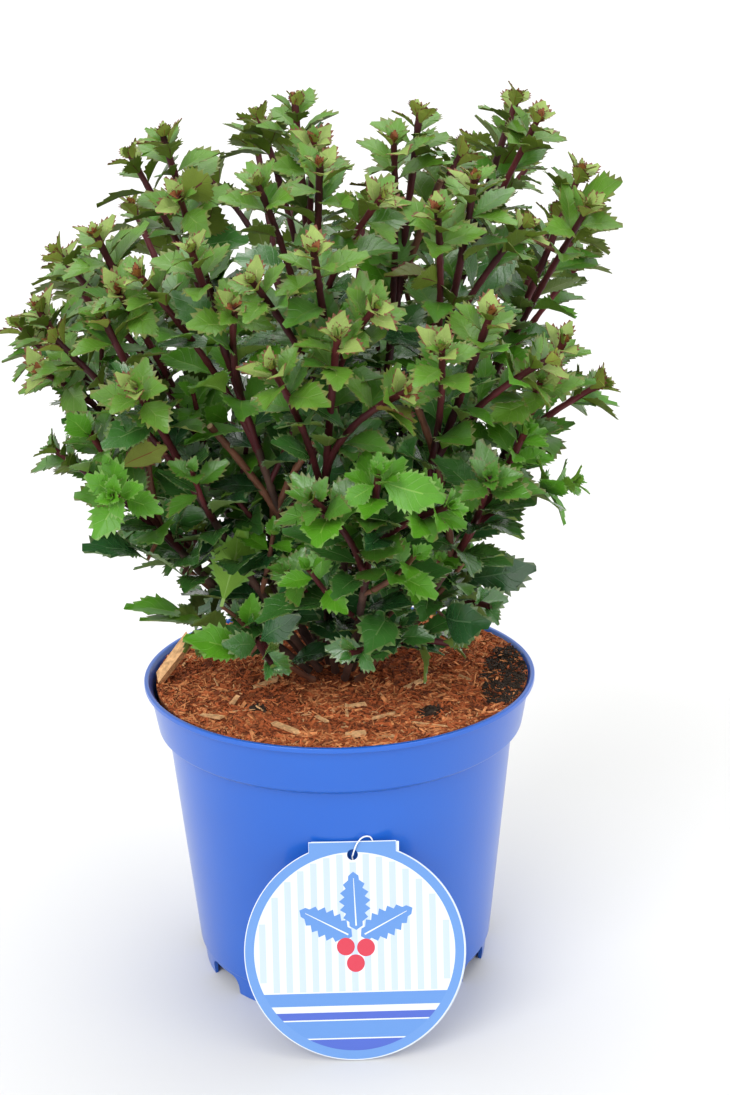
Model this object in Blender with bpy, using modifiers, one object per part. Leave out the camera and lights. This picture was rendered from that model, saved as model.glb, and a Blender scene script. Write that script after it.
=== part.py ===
"""A holly shrub in a blue nursery pot, with a round hang tag that leans on the pot.

Metres, +Z up. The origin is on the pot's axis, at the level that the pot stands on.
The shrub's front is towards -Y.
"""

import math
import random

import bmesh
import bpy
import numpy as np
from mathutils import Matrix, Quaternion, Vector

MM = 0.001
GAP = 0.3 * MM

# Pot: a thin turned wall with a lip, a collar and nine feet between arched notches
POT_HEIGHT = 150 * MM
LIP_RADIUS = 95 * MM
LIP_HEIGHT = 3.5 * MM
LIP_PROUD = 2 * MM
LIP_DRAFT = 0.4 * MM
COLLAR_DROP = 0.5 * MM
COLLAR_TOP_RADIUS = 92.5 * MM
COLLAR_FOOT_RADIUS = 89 * MM
COLLAR_FOOT = 124.5 * MM
BODY_TOP_RADIUS = 83.3 * MM
BODY_TOP = 111.5 * MM
BODY_FOOT_RADIUS = 73.4 * MM
BODY_FOOT = 11.6 * MM
FEET_RADIUS = 71 * MM
FEET_STEP = 1.1 * MM
FEET_DROP = 0.6 * MM
SKIRT_DRAFT = 0.4 * MM
HUB_DRAFT = 1 * MM
WALL = 1.6 * MM
FLOOR = 2 * MM
HUB_RADIUS = 15 * MM
POT_STEPS = 36
NOTCHES = 9
NOTCH_WIDTH = 24 * MM
NOTCH_ROUND = 5 * MM
NOTCH_DEPTH = 8 * MM
NOTCH_UNDER = 0.4 * MM
NOTCH_AZIMUTH = -27

# Substrate and the woody foot that the boughs spring from
SOIL_LEVEL = 145.2 * MM
FOOT_SPHERE = 23 * MM
FOOT_SINK = 8 * MM

# Boughs: Bezier limbs that leave the foot outwards and bend up to their shoot's tip
BOUGH_ROOT_RADIUS = 2.6 * MM
BOUGH_TIP_RADIUS = 1.0 * MM
BOUGH_SHARE = 0.38
BOUGH_BEND = 0.45
BOUGH_STEPS = 6
BASE_PITCH = math.radians(15)
LOWEST_BASE = math.radians(27)

# Leading shoots: azimuth in degrees, then reach, height, spread and drop of the side shoots in mm
LEADERS = (
    (-154, 78, 411, 28, 22),
    (-149, 16, 421, 24, 14),
    (-92, 88, 403, 25, 12),
    (-44, 55, 418, 22, 18),
    (5, 86, 420, 24, 14),
    (-143, 121, 375, 24, 20),
    (-117, 121, 373, 22, 20),
    (-93, 120, 374, 24, 22),
    (-54, 102, 396, 24, 20),
    (-10, 113, 390, 25, 22),
    (-136, 131, 345, 26, 26),
    (-162, 134, 338, 24, 22),
    (-89, 130, 342, 26, 22),
    (-61, 131, 346, 26, 20),
    (-38, 124, 326, 26, 22),
    (-82, 126, 284, 28, 14),
    (-143, 130, 292, 24, 22),
    (-50, 124, 292, 26, 26),
    (24, 118, 362, 28, 26),
    (50, 112, 392, 28, 22),
    (82, 128, 350, 30, 26),
    (112, 96, 404, 28, 20),
    (140, 126, 366, 28, 26),
    (176, 124, 352, 28, 26),
)
LOW_SHOOTS = 5
LOW_AZIMUTH = -64
LOW_REACH = 64 * MM
LOW_HEIGHT = 194 * MM
LOW_SPREAD = 28 * MM
LOW_DROP = 14 * MM

# Side shoots fork from the leader at these shares of its length
FORKS = (0.52, 0.66)
FORK_OUT = 5 * MM
FORK_CLEAR = 5 * MM
LEADER_RADIUS = 2.2 * MM
LEADER_STEPS = 5
TWIG_RADIUS = 1.9 * MM
TWIG_TIP_RADIUS = 1.3 * MM
TWIG_STEPS = 3

# Leaves
LEAF_LENGTH = 34 * MM
LEAF_WIDTH = 26 * MM
LEAF_THICK = 0.8 * MM
LEAF_FOLD = 1.6 * MM
LEAF_DROOP = 2.5 * MM
LEAF_PITCH = 35 * MM
GOLDEN_TURN = math.radians(137.5)
LEAF_RISE_OLD = math.radians(72)
LEAF_RISE_YOUNG = math.radians(46)
CROWN_LEAVES = 3
CROWN_STEP = 0.03
CROWN_LEAF_SIZE = 0.66
LEAF_WIDEST = 0.45
LEAF_SPINE = 0.35
LEAF_SUNK = 0.4 * MM
CELL_CLEAR = 1.0 * MM
CROSS_CLEAR = 3.5 * MM
CROSS_FROM = 5
LEAF_CLEAR = 1.2 * MM
SEED = 12
LEAF_TRIES = ((0, 1), (35, 1), (-35, 1), (0, 0.8), (70, 0.8), (-70, 0.8))

# Round hang tag: two thin card leaves folded at the top, taken as one sheet, and its string
TAG_RADIUS = 50.5 * MM
TAG_THICK = 1.2 * MM
TAG_TAB_WIDTH = 40 * MM
TAG_LENGTH = 101.5 * MM
TAG_LEAN = math.radians(14.55)
TAG_SHIFT = 3.9 * MM
TAG_HOLE_RADIUS = 2.5 * MM
TAG_HOLE_HEIGHT = 95.3 * MM
TAG_ARC_STEPS = 40
STRING_RADIUS = 0.3 * MM
# The string's route on the card, in mm: across, up and out in front of its middle
STRING_ROUTE = (
    (25, 5, -12),
    (22, 9, -7),
    (15, 30, -7),
    (8, 60, -6),
    (2, 85, -3.2),
    (0, 93, -1.9),
    (0.2, 95.2, 0),
    (0.8, 97.5, 1.3),
    (2.2, 100.8, 1.6),
    (4.6, 103.2, 1.0),
    (7.2, 103.5, -0.3),
    (9, 101.9, -1.3),
    (10, 97, -1.6),
    (14, 70, -5),
    (22, 30, -9),
    (27, 10, -14),
)
STRING_STEPS = 2


def clear_scene():
    """Remove what the scene holds, so that only the plant is in it."""
    for thing in list(bpy.data.objects):
        bpy.data.objects.remove(thing, do_unlink=True)


def make_collection(name):
    found = bpy.data.collections.new(name)
    bpy.context.scene.collection.children.link(found)
    return found


def finish(name, red, green, blue, roughness):
    """A Principled material."""
    made = bpy.data.materials.new(name)
    made.use_nodes = True
    shader = made.node_tree.nodes["Principled BSDF"]
    shader.inputs["Base Color"].default_value = (red, green, blue, 1)
    shader.inputs["Roughness"].default_value = roughness
    shader.inputs["Metallic"].default_value = 0
    return made


def add_object(name, data, collection, material=None):
    made = bpy.data.objects.new(name, data)
    collection.objects.link(made)
    if material:
        data.materials.append(material)
    return made


def shade_round(mesh, degrees=40):
    mesh.shade_smooth()
    mesh.set_sharp_from_angle(angle=math.radians(degrees))


def turned(name, profile, collection, material):
    """A solid turned about Z from (radius, height) points that run down its outer side."""
    mesh = bpy.data.meshes.new(name)
    points = [(radius, 0, height) for radius, height in profile]
    mesh.from_pydata(points, [(i, i + 1) for i in range(len(points) - 1)], [])
    made = add_object(name, mesh, collection, material)
    screw = made.modifiers.new("turn", "SCREW")
    screw.angle = math.tau
    screw.steps = POT_STEPS
    screw.render_steps = POT_STEPS
    screw.axis = "Z"
    screw.use_merge_vertices = True
    screw.merge_threshold = 0.00001
    screw.use_smooth_shade = False
    return made


def mesh_from_curve(made, name, collection, material):
    """Replace a curve object by its welded mesh."""
    bpy.context.view_layer.update()
    evaluated = made.evaluated_get(bpy.context.evaluated_depsgraph_get())
    mesh = bpy.data.meshes.new_from_object(evaluated)
    shape = bmesh.new()
    shape.from_mesh(mesh)
    bmesh.ops.remove_doubles(shape, verts=shape.verts, dist=0.000005)
    bmesh.ops.recalc_face_normals(shape, faces=shape.faces)
    shape.to_mesh(mesh)
    shape.free()
    mesh.materials.clear()
    mesh.name = name
    solid = add_object(name, mesh, collection, material)
    solid.matrix_world = made.matrix_world
    bpy.data.objects.remove(made, do_unlink=True)
    return solid


def body_radius(height):
    """The pot body's outer radius at a height."""
    share = (height - BODY_FOOT) / (BODY_TOP - BODY_FOOT)
    return BODY_FOOT_RADIUS + share * (BODY_TOP_RADIUS - BODY_FOOT_RADIUS)


def inner_profile(inset):
    """The pot's inner wall from its floor up, moved in by inset, as (radius, height) points."""
    return [
        (body_radius(BODY_FOOT) - WALL - inset, BODY_FOOT + inset),
        (BODY_TOP_RADIUS - WALL - inset, BODY_TOP + WALL / 2),
        (COLLAR_FOOT_RADIUS - WALL - inset, COLLAR_FOOT + WALL / 2),
    ]


def make_pot(parts, cutters):
    """The turned pot, with its nine notches cut through the skirt between the feet."""
    under = BODY_FOOT - FLOOR
    profile = [(0, BODY_FOOT)] + inner_profile(0)
    profile += [
        (COLLAR_TOP_RADIUS - WALL, POT_HEIGHT - LIP_HEIGHT),
        (LIP_RADIUS - LIP_PROUD, POT_HEIGHT),
        (LIP_RADIUS, POT_HEIGHT),
        (LIP_RADIUS - LIP_DRAFT, POT_HEIGHT - LIP_HEIGHT),
        (COLLAR_TOP_RADIUS, POT_HEIGHT - LIP_HEIGHT - COLLAR_DROP),
        (COLLAR_FOOT_RADIUS, COLLAR_FOOT),
        (BODY_TOP_RADIUS, BODY_TOP),
        (BODY_FOOT_RADIUS, BODY_FOOT),
        (BODY_FOOT_RADIUS - FEET_STEP, BODY_FOOT - FEET_DROP),
        (FEET_RADIUS, 0),
        (FEET_RADIUS - WALL, 0),
        (FEET_RADIUS - WALL + SKIRT_DRAFT, under),
        (HUB_RADIUS + HUB_DRAFT, under),
        (HUB_RADIUS, 0),
        (0, 0),
    ]
    blue = finish("blue_plastic", 0.02, 0.12, 0.62, 0.42)
    pot = turned("pot", profile, parts, blue)
    for index in range(NOTCHES):
        azimuth = math.radians(NOTCH_AZIMUTH + index * 360 / NOTCHES)
        cutter = make_notch_cutter(f"notch_{index + 1}", azimuth, under, cutters)
        cut = pot.modifiers.new(f"notch {index + 1}", "BOOLEAN")
        cut.object = cutter
        cut.operation = "DIFFERENCE"
        cut.solver = "EXACT"
    return pot


def make_notch_cutter(name, azimuth, height, cutters):
    """An arched bar through the skirt: a box with its two upper edges rounded."""
    shape = bmesh.new()
    bmesh.ops.create_cube(shape, size=1)
    top = height - NOTCH_UNDER
    bmesh.ops.scale(shape, vec=(NOTCH_DEPTH, NOTCH_WIDTH, 2 * top), verts=shape.verts)
    upper = [
        edge
        for edge in shape.edges
        if all(vert.co.z > 0 for vert in edge.verts)
        and abs(edge.verts[0].co.x - edge.verts[1].co.x) > NOTCH_DEPTH / 2
    ]
    bmesh.ops.bevel(
        shape, geom=upper, offset=NOTCH_ROUND, segments=2, profile=0.5, affect="EDGES", material=-1
    )
    mesh = bpy.data.meshes.new(name)
    shape.to_mesh(mesh)
    shape.free()
    made = add_object(name, mesh, cutters)
    reach = FEET_RADIUS - WALL / 2
    made.location = (reach * math.cos(azimuth), reach * math.sin(azimuth), 0)
    made.rotation_euler = (0, 0, azimuth)
    made.hide_render = True
    made.display_type = "WIRE"
    return made


def make_substrate(parts):
    """The potting mix: it fills the pot, clear of its wall, up to a little under the lip."""
    share = (SOIL_LEVEL - COLLAR_FOOT) / (POT_HEIGHT - LIP_HEIGHT - COLLAR_FOOT)
    wall_radius = COLLAR_FOOT_RADIUS + share * (COLLAR_TOP_RADIUS - COLLAR_FOOT_RADIUS)
    rising = inner_profile(2 * GAP)
    rising.append((wall_radius - WALL - 2 * GAP, SOIL_LEVEL))
    profile = [(0, SOIL_LEVEL)] + rising[::-1] + [(0, BODY_FOOT + 2 * GAP)]
    brown = finish("coir_brown", 0.30, 0.09, 0.035, 0.9)
    return turned("substrate", profile, parts, brown)


def make_foot(parts):
    """The root collar: a low woody dome, cut flat where it meets the substrate."""
    shape = bmesh.new()
    bmesh.ops.create_uvsphere(shape, u_segments=16, v_segments=10, radius=FOOT_SPHERE)
    geometry = shape.verts[:] + shape.edges[:] + shape.faces[:]
    cut_level = FOOT_SINK + GAP
    cut = bmesh.ops.bisect_plane(
        shape, geom=geometry, plane_co=(0, 0, cut_level), plane_no=(0, 0, 1), clear_inner=True
    )
    rim = [item for item in cut["geom_cut"] if isinstance(item, bmesh.types.BMEdge)]
    bmesh.ops.edgenet_fill(shape, edges=rim)
    bmesh.ops.recalc_face_normals(shape, faces=shape.faces)
    mesh = bpy.data.meshes.new("foot")
    shape.to_mesh(mesh)
    shape.free()
    made = add_object("foot", mesh, parts, finish("old_bark", 0.05, 0.03, 0.025, 0.8))
    made.location = foot_centre()
    shade_round(mesh)
    return made


def foot_centre():
    return Vector((0, 0, SOIL_LEVEL - FOOT_SINK))


def polar(azimuth, reach, height):
    """A point from an azimuth in degrees and metres."""
    angle = math.radians(azimuth)
    return Vector((reach * math.cos(angle), reach * math.sin(angle), height))


def shoot_table():
    """Each leading shoot's tip, side spread and drop: the crown's leaders, then the low shoots."""
    table = []
    for azimuth, reach, height, spread, drop in LEADERS:
        table.append((polar(azimuth, reach * MM, height * MM), spread * MM, drop * MM))
    for index in range(LOW_SHOOTS):
        tip = polar(LOW_AZIMUTH + index * 360 / LOW_SHOOTS, LOW_REACH, LOW_HEIGHT)
        table.append((tip, LOW_SPREAD, LOW_DROP))
    return table


def base_directions(tips):
    """Where each bough springs from the foot: towards its tip, pushed apart to a clear pitch."""
    centre = foot_centre()
    aims = [(tip - centre).normalized() for tip in tips]
    for _ in range(400):
        moves = [Vector() for _ in aims]
        for i, one in enumerate(aims):
            for j in range(i + 1, len(aims)):
                apart = aims[j] - one
                short = BASE_PITCH - apart.length
                if short > 0:
                    push = apart.normalized() * short * 0.5
                    moves[i] -= push
                    moves[j] += push
        aims = [raised(aim + move) for aim, move in zip(aims, moves)]
    return aims


def raised(aim):
    """A direction's unit vector, no lower than the lowest base."""
    aim = aim.normalized()
    lowest = math.sin(LOWEST_BASE)
    if aim.z < lowest:
        flat = Vector((aim.x, aim.y, 0)).normalized() * math.cos(LOWEST_BASE)
        aim = Vector((flat.x, flat.y, lowest))
    return aim


def bezier(start, aim, tip, share):
    """A point on the quadratic curve that leaves start along aim and ends at tip."""
    bend = start + aim * (tip - start).length * BOUGH_BEND
    rest = 1 - share
    return start * rest * rest + bend * 2 * rest * share + tip * share * share


class Shoot:
    """A tapering axis from one share of a Bezier curve to another."""

    def __init__(self, curve, low, high, root_radius, tip_radius, steps):
        self.curve, self.low = curve, low
        shares = [low + (high - low) * i / steps for i in range(steps + 1)]
        self.points = [self.at(share) for share in shares]
        self.radii = [root_radius + (tip_radius - root_radius) * i / steps for i in range(steps + 1)]

    def at(self, share):
        return bezier(*self.curve, share)

    def tangent(self, share):
        return (self.at(share + 0.01) - self.at(share - 0.01)).normalized()

    def length(self):
        return sum((b - a).length for a, b in zip(self.points, self.points[1:]))

    def segments(self):
        return np.array([(tuple(a), tuple(b)) for a, b in zip(self.points, self.points[1:])])


def grow_skeleton():
    """The boughs, and for each mass its leader and the side shoots that keep clear of the rest."""
    table = shoot_table()
    aims = base_directions([tip for tip, _, _ in table])
    joint_radius = BOUGH_ROOT_RADIUS + (BOUGH_TIP_RADIUS - BOUGH_ROOT_RADIUS) * BOUGH_SHARE
    boughs, masses = [], []
    for (tip, _, _), aim in zip(table, aims):
        start = foot_centre() + aim * (FOOT_SPHERE + GAP)
        curve = (start, aim, tip)
        share = 0
        if len(boughs) < len(LEADERS):
            boughs.append(Shoot(curve, 0, BOUGH_SHARE, BOUGH_ROOT_RADIUS, joint_radius, BOUGH_STEPS))
            share = BOUGH_SHARE + GAP / (tip - start).length
        masses.append([Shoot(curve, share, 1, LEADER_RADIUS, TWIG_TIP_RADIUS, LEADER_STEPS)])
    for index, (tip, spread, drop) in enumerate(table):
        add_side_shoots(index, tip, spread, drop, boughs, masses)
    return boughs, masses


def add_side_shoots(index, tip, spread, drop, boughs, masses):
    """Fork a mass's leader to each side, unless a side shoot would come near another limb."""
    leader = masses[index][0]
    outward = Vector((tip.x, tip.y, 0)).normalized()
    across = Vector((-outward.y, outward.x, 0))
    others = [bough.segments() for bough in boughs]
    others += [shoot.segments() for i, mass in enumerate(masses) if i != index for shoot in mass]
    others = np.concatenate(others)
    for order, share in enumerate(FORKS):
        side = across * spread * (1 if order else -1)
        end = tip + side + outward * FORK_OUT - Vector((0, 0, drop * (order + 1) / 2))
        curve = (leader.at(share), leader.tangent(share), end)
        twig = Shoot(curve, 0, 1, TWIG_RADIUS, TWIG_TIP_RADIUS, TWIG_STEPS)
        if nearest(np.array(twig.points[1:]), others).min() > FORK_CLEAR:
            masses[index].append(twig)


def nearest(points, segments):
    """Each point's distance to the nearest segment."""
    start, end = segments[:, 0], segments[:, 1]
    along = end - start
    offset = points[:, None] - start[None]
    share = (offset * along).sum(2) / (along * along).sum(1)
    foot = start + np.clip(share, 0, 1)[..., None] * along
    return np.linalg.norm(points[:, None] - foot, axis=2).min(1)


def make_limb(name, shoot, collection, material, profile=None):
    """A tapering tube along a shoot, round or on a three-sided profile, as a welded mesh."""
    curve = bpy.data.curves.new(name, "CURVE")
    curve.dimensions = "3D"
    curve.use_fill_caps = True
    if profile:
        curve.bevel_mode = "OBJECT"
        curve.bevel_object = profile
    else:
        curve.bevel_depth = 1
        curve.bevel_resolution = 1
    spline = curve.splines.new("POLY")
    spline.points.add(len(shoot.points) - 1)
    for point, place, radius in zip(spline.points, shoot.points, shoot.radii):
        point.co = (*place, 1)
        point.radius = radius
    made = add_object(name + "_axis", curve, collection)
    return mesh_from_curve(made, name, collection, material)


def make_profile(collection):
    """The three-sided section of a twig."""
    curve = bpy.data.curves.new("twig_section", "CURVE")
    curve.dimensions = "2D"
    spline = curve.splines.new("POLY")
    spline.points.add(2)
    spline.use_cyclic_u = True
    for index, point in enumerate(spline.points):
        angle = index * math.tau / 3
        point.co = (math.cos(angle), math.sin(angle), 0, 1)
    made = add_object("twig_section", curve, collection)
    made.hide_render = True
    made.display_type = "WIRE"
    return made


def leaf_matrix(root, tangent, turn, rise):
    """A leaf's frame: X runs out along the leaf, Z is its upper side, towards the twig's tip."""
    side = tangent.orthogonal().normalized()
    side = Quaternion(tangent, turn) @ side
    along = tangent * math.cos(rise) + side * math.sin(rise)
    across = tangent.cross(along).normalized()
    upper = along.cross(across)
    matrix = Matrix((along, across, upper)).transposed().to_4x4()
    matrix.translation = root
    return matrix


def leaf_places(shoot, first_turn):
    """Leaf roots along one shoot by the golden turn, then a rosette at its tip."""
    count = max(2, int(shoot.length() / LEAF_PITCH))
    places = []
    turn = first_turn
    for index in range(count):
        youth = (index + 0.6) / count
        rise = LEAF_RISE_OLD + (LEAF_RISE_YOUNG - LEAF_RISE_OLD) * youth
        places.append((shoot.low + (0.95 - shoot.low) * youth, turn, rise, 1.0))
        turn += GOLDEN_TURN
    for index in range(CROWN_LEAVES):
        turn += math.tau / CROWN_LEAVES
        places.append((0.985 - CROWN_STEP * index, turn, LEAF_RISE_YOUNG, CROWN_LEAF_SIZE))
    return places


def leaf_samples(matrix, size):
    """Points spread all over a leaf's blade, as an array."""
    points = []
    for along in np.linspace(0.2, 1, 9):
        half = min(along / LEAF_WIDEST, (1 - along) / (1 - LEAF_WIDEST)) * LEAF_WIDTH / 2
        for across in np.linspace(-1, 1, 5):
            fold = -LEAF_FOLD * (1 - abs(across)) * half / (LEAF_WIDTH / 2)
            place = Vector((along * LEAF_LENGTH, across * half, fold)) * size
            points.append(tuple(matrix @ place))
    return np.array(points)


def leaf_fits(points, own, others, limbs):
    """True where a leaf keeps to its mass's own space, off every limb, the foot and the pot."""
    if points[:, 2].min() < SOIL_LEVEL + LEAF_CLEAR:
        return False
    over_wall = np.hypot(points[:, 0], points[:, 1]) > COLLAR_FOOT_RADIUS - LEAF_CLEAR
    if (points[over_wall, 2] < POT_HEIGHT + LEAF_CLEAR).any():
        return False
    if np.linalg.norm(points - np.array(foot_centre()), axis=1).min() < FOOT_SPHERE + LEAF_CLEAR:
        return False
    if nearest(points, limbs).min() < BOUGH_ROOT_RADIUS + LEAF_CLEAR:
        return False
    return (nearest(points, others) > nearest(points, own) + CELL_CLEAR).all()


def crosses(blade, placed):
    """True where a leaf's blade would cut through one that its mass already has."""
    if not placed:
        return False
    taken = np.concatenate(placed)
    return np.linalg.norm(blade[:, None] - taken[None], axis=2).min() < CROSS_CLEAR


def make_leaf(matrix, size, collection):
    """A thin folded blade of eight faces, from a four-sided sphere."""
    shape = bmesh.new()
    bmesh.ops.create_uvsphere(shape, u_segments=4, v_segments=2, radius=1)
    for vert in shape.verts:
        x, y, z = vert.co
        if abs(z) > 0.5:
            place = (LEAF_SPINE * LEAF_LENGTH, 0, z * LEAF_THICK / 2 - LEAF_FOLD)
        elif abs(y) > 0.5:
            place = (LEAF_WIDEST * LEAF_LENGTH, y * LEAF_WIDTH / 2, 0)
        elif x > 0:
            place = (LEAF_LENGTH, 0, -LEAF_DROOP)
        else:
            place = (-LEAF_SUNK, 0, 0)
        vert.co = Vector(place) * (size if place[0] > 0 else 1)
    shape.transform(matrix)
    mesh = bpy.data.meshes.new("leaf")
    shape.to_mesh(mesh)
    shape.free()
    return add_object("leaf", mesh, collection)


def make_mass(name, shoots, others, limbs, parts, section, material, chance):
    """One mass of foliage: its leader, side shoots and leaves, fused into one solid."""
    pieces = make_collection(name + "_pieces")
    leader = make_limb(name, shoots[0], parts, material, section)
    for twig in shoots[1:]:
        make_limb(name + "_twig", twig, pieces, None, section)
    own = np.concatenate([shoot.segments() for shoot in shoots])
    placed = []
    for shoot in shoots:
        for share, turn, rise, size in leaf_places(shoot, chance.uniform(0, math.tau)):
            root, tangent = shoot.at(share), shoot.tangent(share)
            for extra, shrink in LEAF_TRIES:
                matrix = leaf_matrix(root, tangent, turn + math.radians(extra), rise)
                points = leaf_samples(matrix, size * shrink)
                blade = points[CROSS_FROM:]
                if crosses(blade, placed) or not leaf_fits(points, own, others, limbs):
                    continue
                make_leaf(matrix, size * shrink, pieces)
                placed.append(blade)
                break
    fuse(leader, pieces)
    return leader


def fuse(solid, pieces):
    """Unite a solid with all of a collection's objects, which are then removed."""
    union = solid.modifiers.new("fuse", "BOOLEAN")
    union.operation = "UNION"
    union.operand_type = "COLLECTION"
    union.collection = pieces
    union.solver = "MANIFOLD"
    bpy.context.view_layer.update()
    evaluated = solid.evaluated_get(bpy.context.evaluated_depsgraph_get())
    fused = bpy.data.meshes.new_from_object(evaluated)
    solid.modifiers.clear()
    solid.data = fused
    keep_largest(fused)
    for piece in list(pieces.objects):
        bpy.data.objects.remove(piece, do_unlink=True)
    bpy.data.collections.remove(pieces)


def keep_largest(mesh):
    """Drop loose scraps and fill sealed hollows: only the largest body's outer skin is kept."""
    shape = bmesh.new()
    shape.from_mesh(mesh)
    left = set(shape.verts)
    islands = []
    while left:
        island, front = set(), [left.pop()]
        while front:
            vert = front.pop()
            island.add(vert)
            for edge in vert.link_edges:
                other = edge.other_vert(vert)
                if other in left:
                    left.remove(other)
                    front.append(other)
        islands.append(island)
    islands.sort(key=len)
    for island in islands[:-1]:
        bmesh.ops.delete(shape, geom=list(island), context="VERTS")
    bmesh.ops.triangulate(shape, faces=shape.faces)
    shape.to_mesh(mesh)
    shape.free()


def make_plant(parts, guides):
    """The boughs and the masses of foliage that grow on from them."""
    boughs, masses = grow_skeleton()
    bark = finish("young_bark", 0.09, 0.025, 0.03, 0.6)
    green = finish("holly_green", 0.05, 0.16, 0.03, 0.4)
    dark = finish("old_leaf_green", 0.015, 0.06, 0.02, 0.35)
    section = make_profile(guides)
    limbs = np.concatenate([bough.segments() for bough in boughs])
    chance = random.Random(SEED)
    for index, bough in enumerate(boughs):
        shade_round(make_limb(f"bough_{index + 1:02d}", bough, parts, bark).data)
    for index, shoots in enumerate(masses):
        low = index - len(LEADERS) + 1
        name = f"low_spray_{low}" if low > 0 else f"crown_{index + 1:02d}"
        material = dark if low > 0 else green
        others = [s.segments() for i, mass in enumerate(masses) if i != index for s in mass]
        make_mass(name, shoots, np.concatenate(others), limbs, parts, section, material, chance)


def tag_frame():
    """The card's frame: X across it, Y up it, Z out of its front; it stands on its lower edge."""
    top = TAG_LENGTH * math.cos(TAG_LEAN)
    touch = body_radius(top) + GAP + TAG_THICK / 2 / math.cos(TAG_LEAN)
    foot = touch + TAG_LENGTH * math.sin(TAG_LEAN)
    lift = GAP + TAG_THICK / 2 * math.sin(TAG_LEAN)
    place = Matrix.Translation((TAG_SHIFT, -foot, lift))
    return place @ Matrix.Rotation(math.radians(90) - TAG_LEAN, 4, "X")


def make_tag(parts):
    """The card: a disc with a tab at its top, and a hole for the string."""
    curve = bpy.data.curves.new("tag", "CURVE")
    curve.dimensions = "2D"
    curve.fill_mode = "BOTH"
    curve.extrude = TAG_THICK / 2
    half = TAG_TAB_WIDTH / 2
    first = math.acos(half / TAG_RADIUS)
    sweep = math.tau - (math.pi - 2 * first)
    outline = [(half, TAG_LENGTH)]
    for index in range(TAG_ARC_STEPS + 1):
        angle = first - sweep * index / TAG_ARC_STEPS
        outline.append((TAG_RADIUS * math.cos(angle), TAG_RADIUS + TAG_RADIUS * math.sin(angle)))
    outline.append((-half, TAG_LENGTH))
    hole = []
    for index in range(12):
        angle = index * math.tau / 12
        across = TAG_HOLE_RADIUS * math.cos(angle)
        hole.append((across, TAG_HOLE_HEIGHT + TAG_HOLE_RADIUS * math.sin(angle)))
    for points in (outline, hole):
        spline = curve.splines.new("POLY")
        spline.points.add(len(points) - 1)
        spline.use_cyclic_u = True
        for point, (x, y) in zip(spline.points, points):
            point.co = (x, y, 0, 1)
    made = add_object("tag_axis", curve, parts)
    made.matrix_world = tag_frame()
    return mesh_from_curve(made, "tag", parts, finish("printed_card", 0.75, 0.82, 0.95, 0.4))


def smooth_route(points, steps):
    """Points read from a smooth curve through the given ones."""
    ends = [points[0] * 2 - points[1]] + points + [points[-1] * 2 - points[-2]]
    route = []
    for a, b, c, d in zip(ends, ends[1:], ends[2:], ends[3:]):
        for index in range(steps):
            t = index / steps
            cubic = (b * 3 - a - c * 3 + d) * t ** 3
            square = (a * 2 - b * 5 + c * 4 - d) * t ** 2
            route.append((b * 2 + (c - a) * t + square + cubic) / 2)
    return route + [points[-1]]


def make_string(parts):
    """The tag's thin string: up behind the card, out through its hole and back over its top."""
    frame = tag_frame()
    places = [frame @ (Vector(point) * MM) for point in STRING_ROUTE]
    route = smooth_route(places, STRING_STEPS)
    curve = bpy.data.curves.new("tag_string", "CURVE")
    curve.dimensions = "3D"
    curve.use_fill_caps = True
    curve.bevel_depth = STRING_RADIUS
    curve.bevel_resolution = 1
    spline = curve.splines.new("POLY")
    spline.points.add(len(route) - 1)
    for point, place in zip(spline.points, route):
        point.co = (*place, 1)
    made = add_object("tag_string_axis", curve, parts)
    white = finish("white_string", 0.85, 0.85, 0.85, 0.6)
    return mesh_from_curve(made, "tag_string", parts, white)


def main():
    clear_scene()
    parts = make_collection("blue_holly")
    guides = make_collection("cutters")
    make_pot(parts, guides)
    make_substrate(parts)
    make_foot(parts)
    make_plant(parts, guides)
    make_tag(parts)
    make_string(parts)


main()
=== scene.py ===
"""Looks of a potted blue holly: toothed leaves, barked stems, loose potting mix, pot and hang tag.

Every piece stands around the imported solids, in metres, with +Z up and the front towards -Y.
"""

import math
import random

import bmesh
import bpy
import numpy as np
from mathutils import Euler, Matrix, Quaternion, Vector, noise


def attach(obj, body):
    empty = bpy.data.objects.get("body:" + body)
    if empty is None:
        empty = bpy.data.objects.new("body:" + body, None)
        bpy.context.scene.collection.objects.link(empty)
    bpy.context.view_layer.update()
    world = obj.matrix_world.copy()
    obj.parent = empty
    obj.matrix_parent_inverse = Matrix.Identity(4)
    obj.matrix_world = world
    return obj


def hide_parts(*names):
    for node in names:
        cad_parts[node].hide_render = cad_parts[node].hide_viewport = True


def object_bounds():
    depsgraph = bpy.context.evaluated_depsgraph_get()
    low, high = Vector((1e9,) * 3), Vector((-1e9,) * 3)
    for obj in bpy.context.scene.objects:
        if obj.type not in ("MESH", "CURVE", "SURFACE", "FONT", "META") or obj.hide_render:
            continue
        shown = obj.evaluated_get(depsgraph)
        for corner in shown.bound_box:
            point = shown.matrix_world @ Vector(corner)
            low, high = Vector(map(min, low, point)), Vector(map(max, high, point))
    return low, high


bl_info = {
    "name": "Potted blue holly",
    "version": (1, 0, 0),
    "blender": (4, 5, 0),
    "location": "View3D > Sidebar > Holly",
    "description": "Grows a potted holly shrub's leaves and stems around its solids",
    "category": "Add Mesh",
}

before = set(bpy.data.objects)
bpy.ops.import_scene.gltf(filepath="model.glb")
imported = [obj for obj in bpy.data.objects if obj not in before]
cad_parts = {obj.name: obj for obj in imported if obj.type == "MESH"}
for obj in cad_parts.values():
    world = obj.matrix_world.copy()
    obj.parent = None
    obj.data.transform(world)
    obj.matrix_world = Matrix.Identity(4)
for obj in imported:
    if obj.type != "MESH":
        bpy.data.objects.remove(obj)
SOLID_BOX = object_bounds()

MM = 0.001
GAP = 0.3 * MM
BODY = "root"

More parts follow.
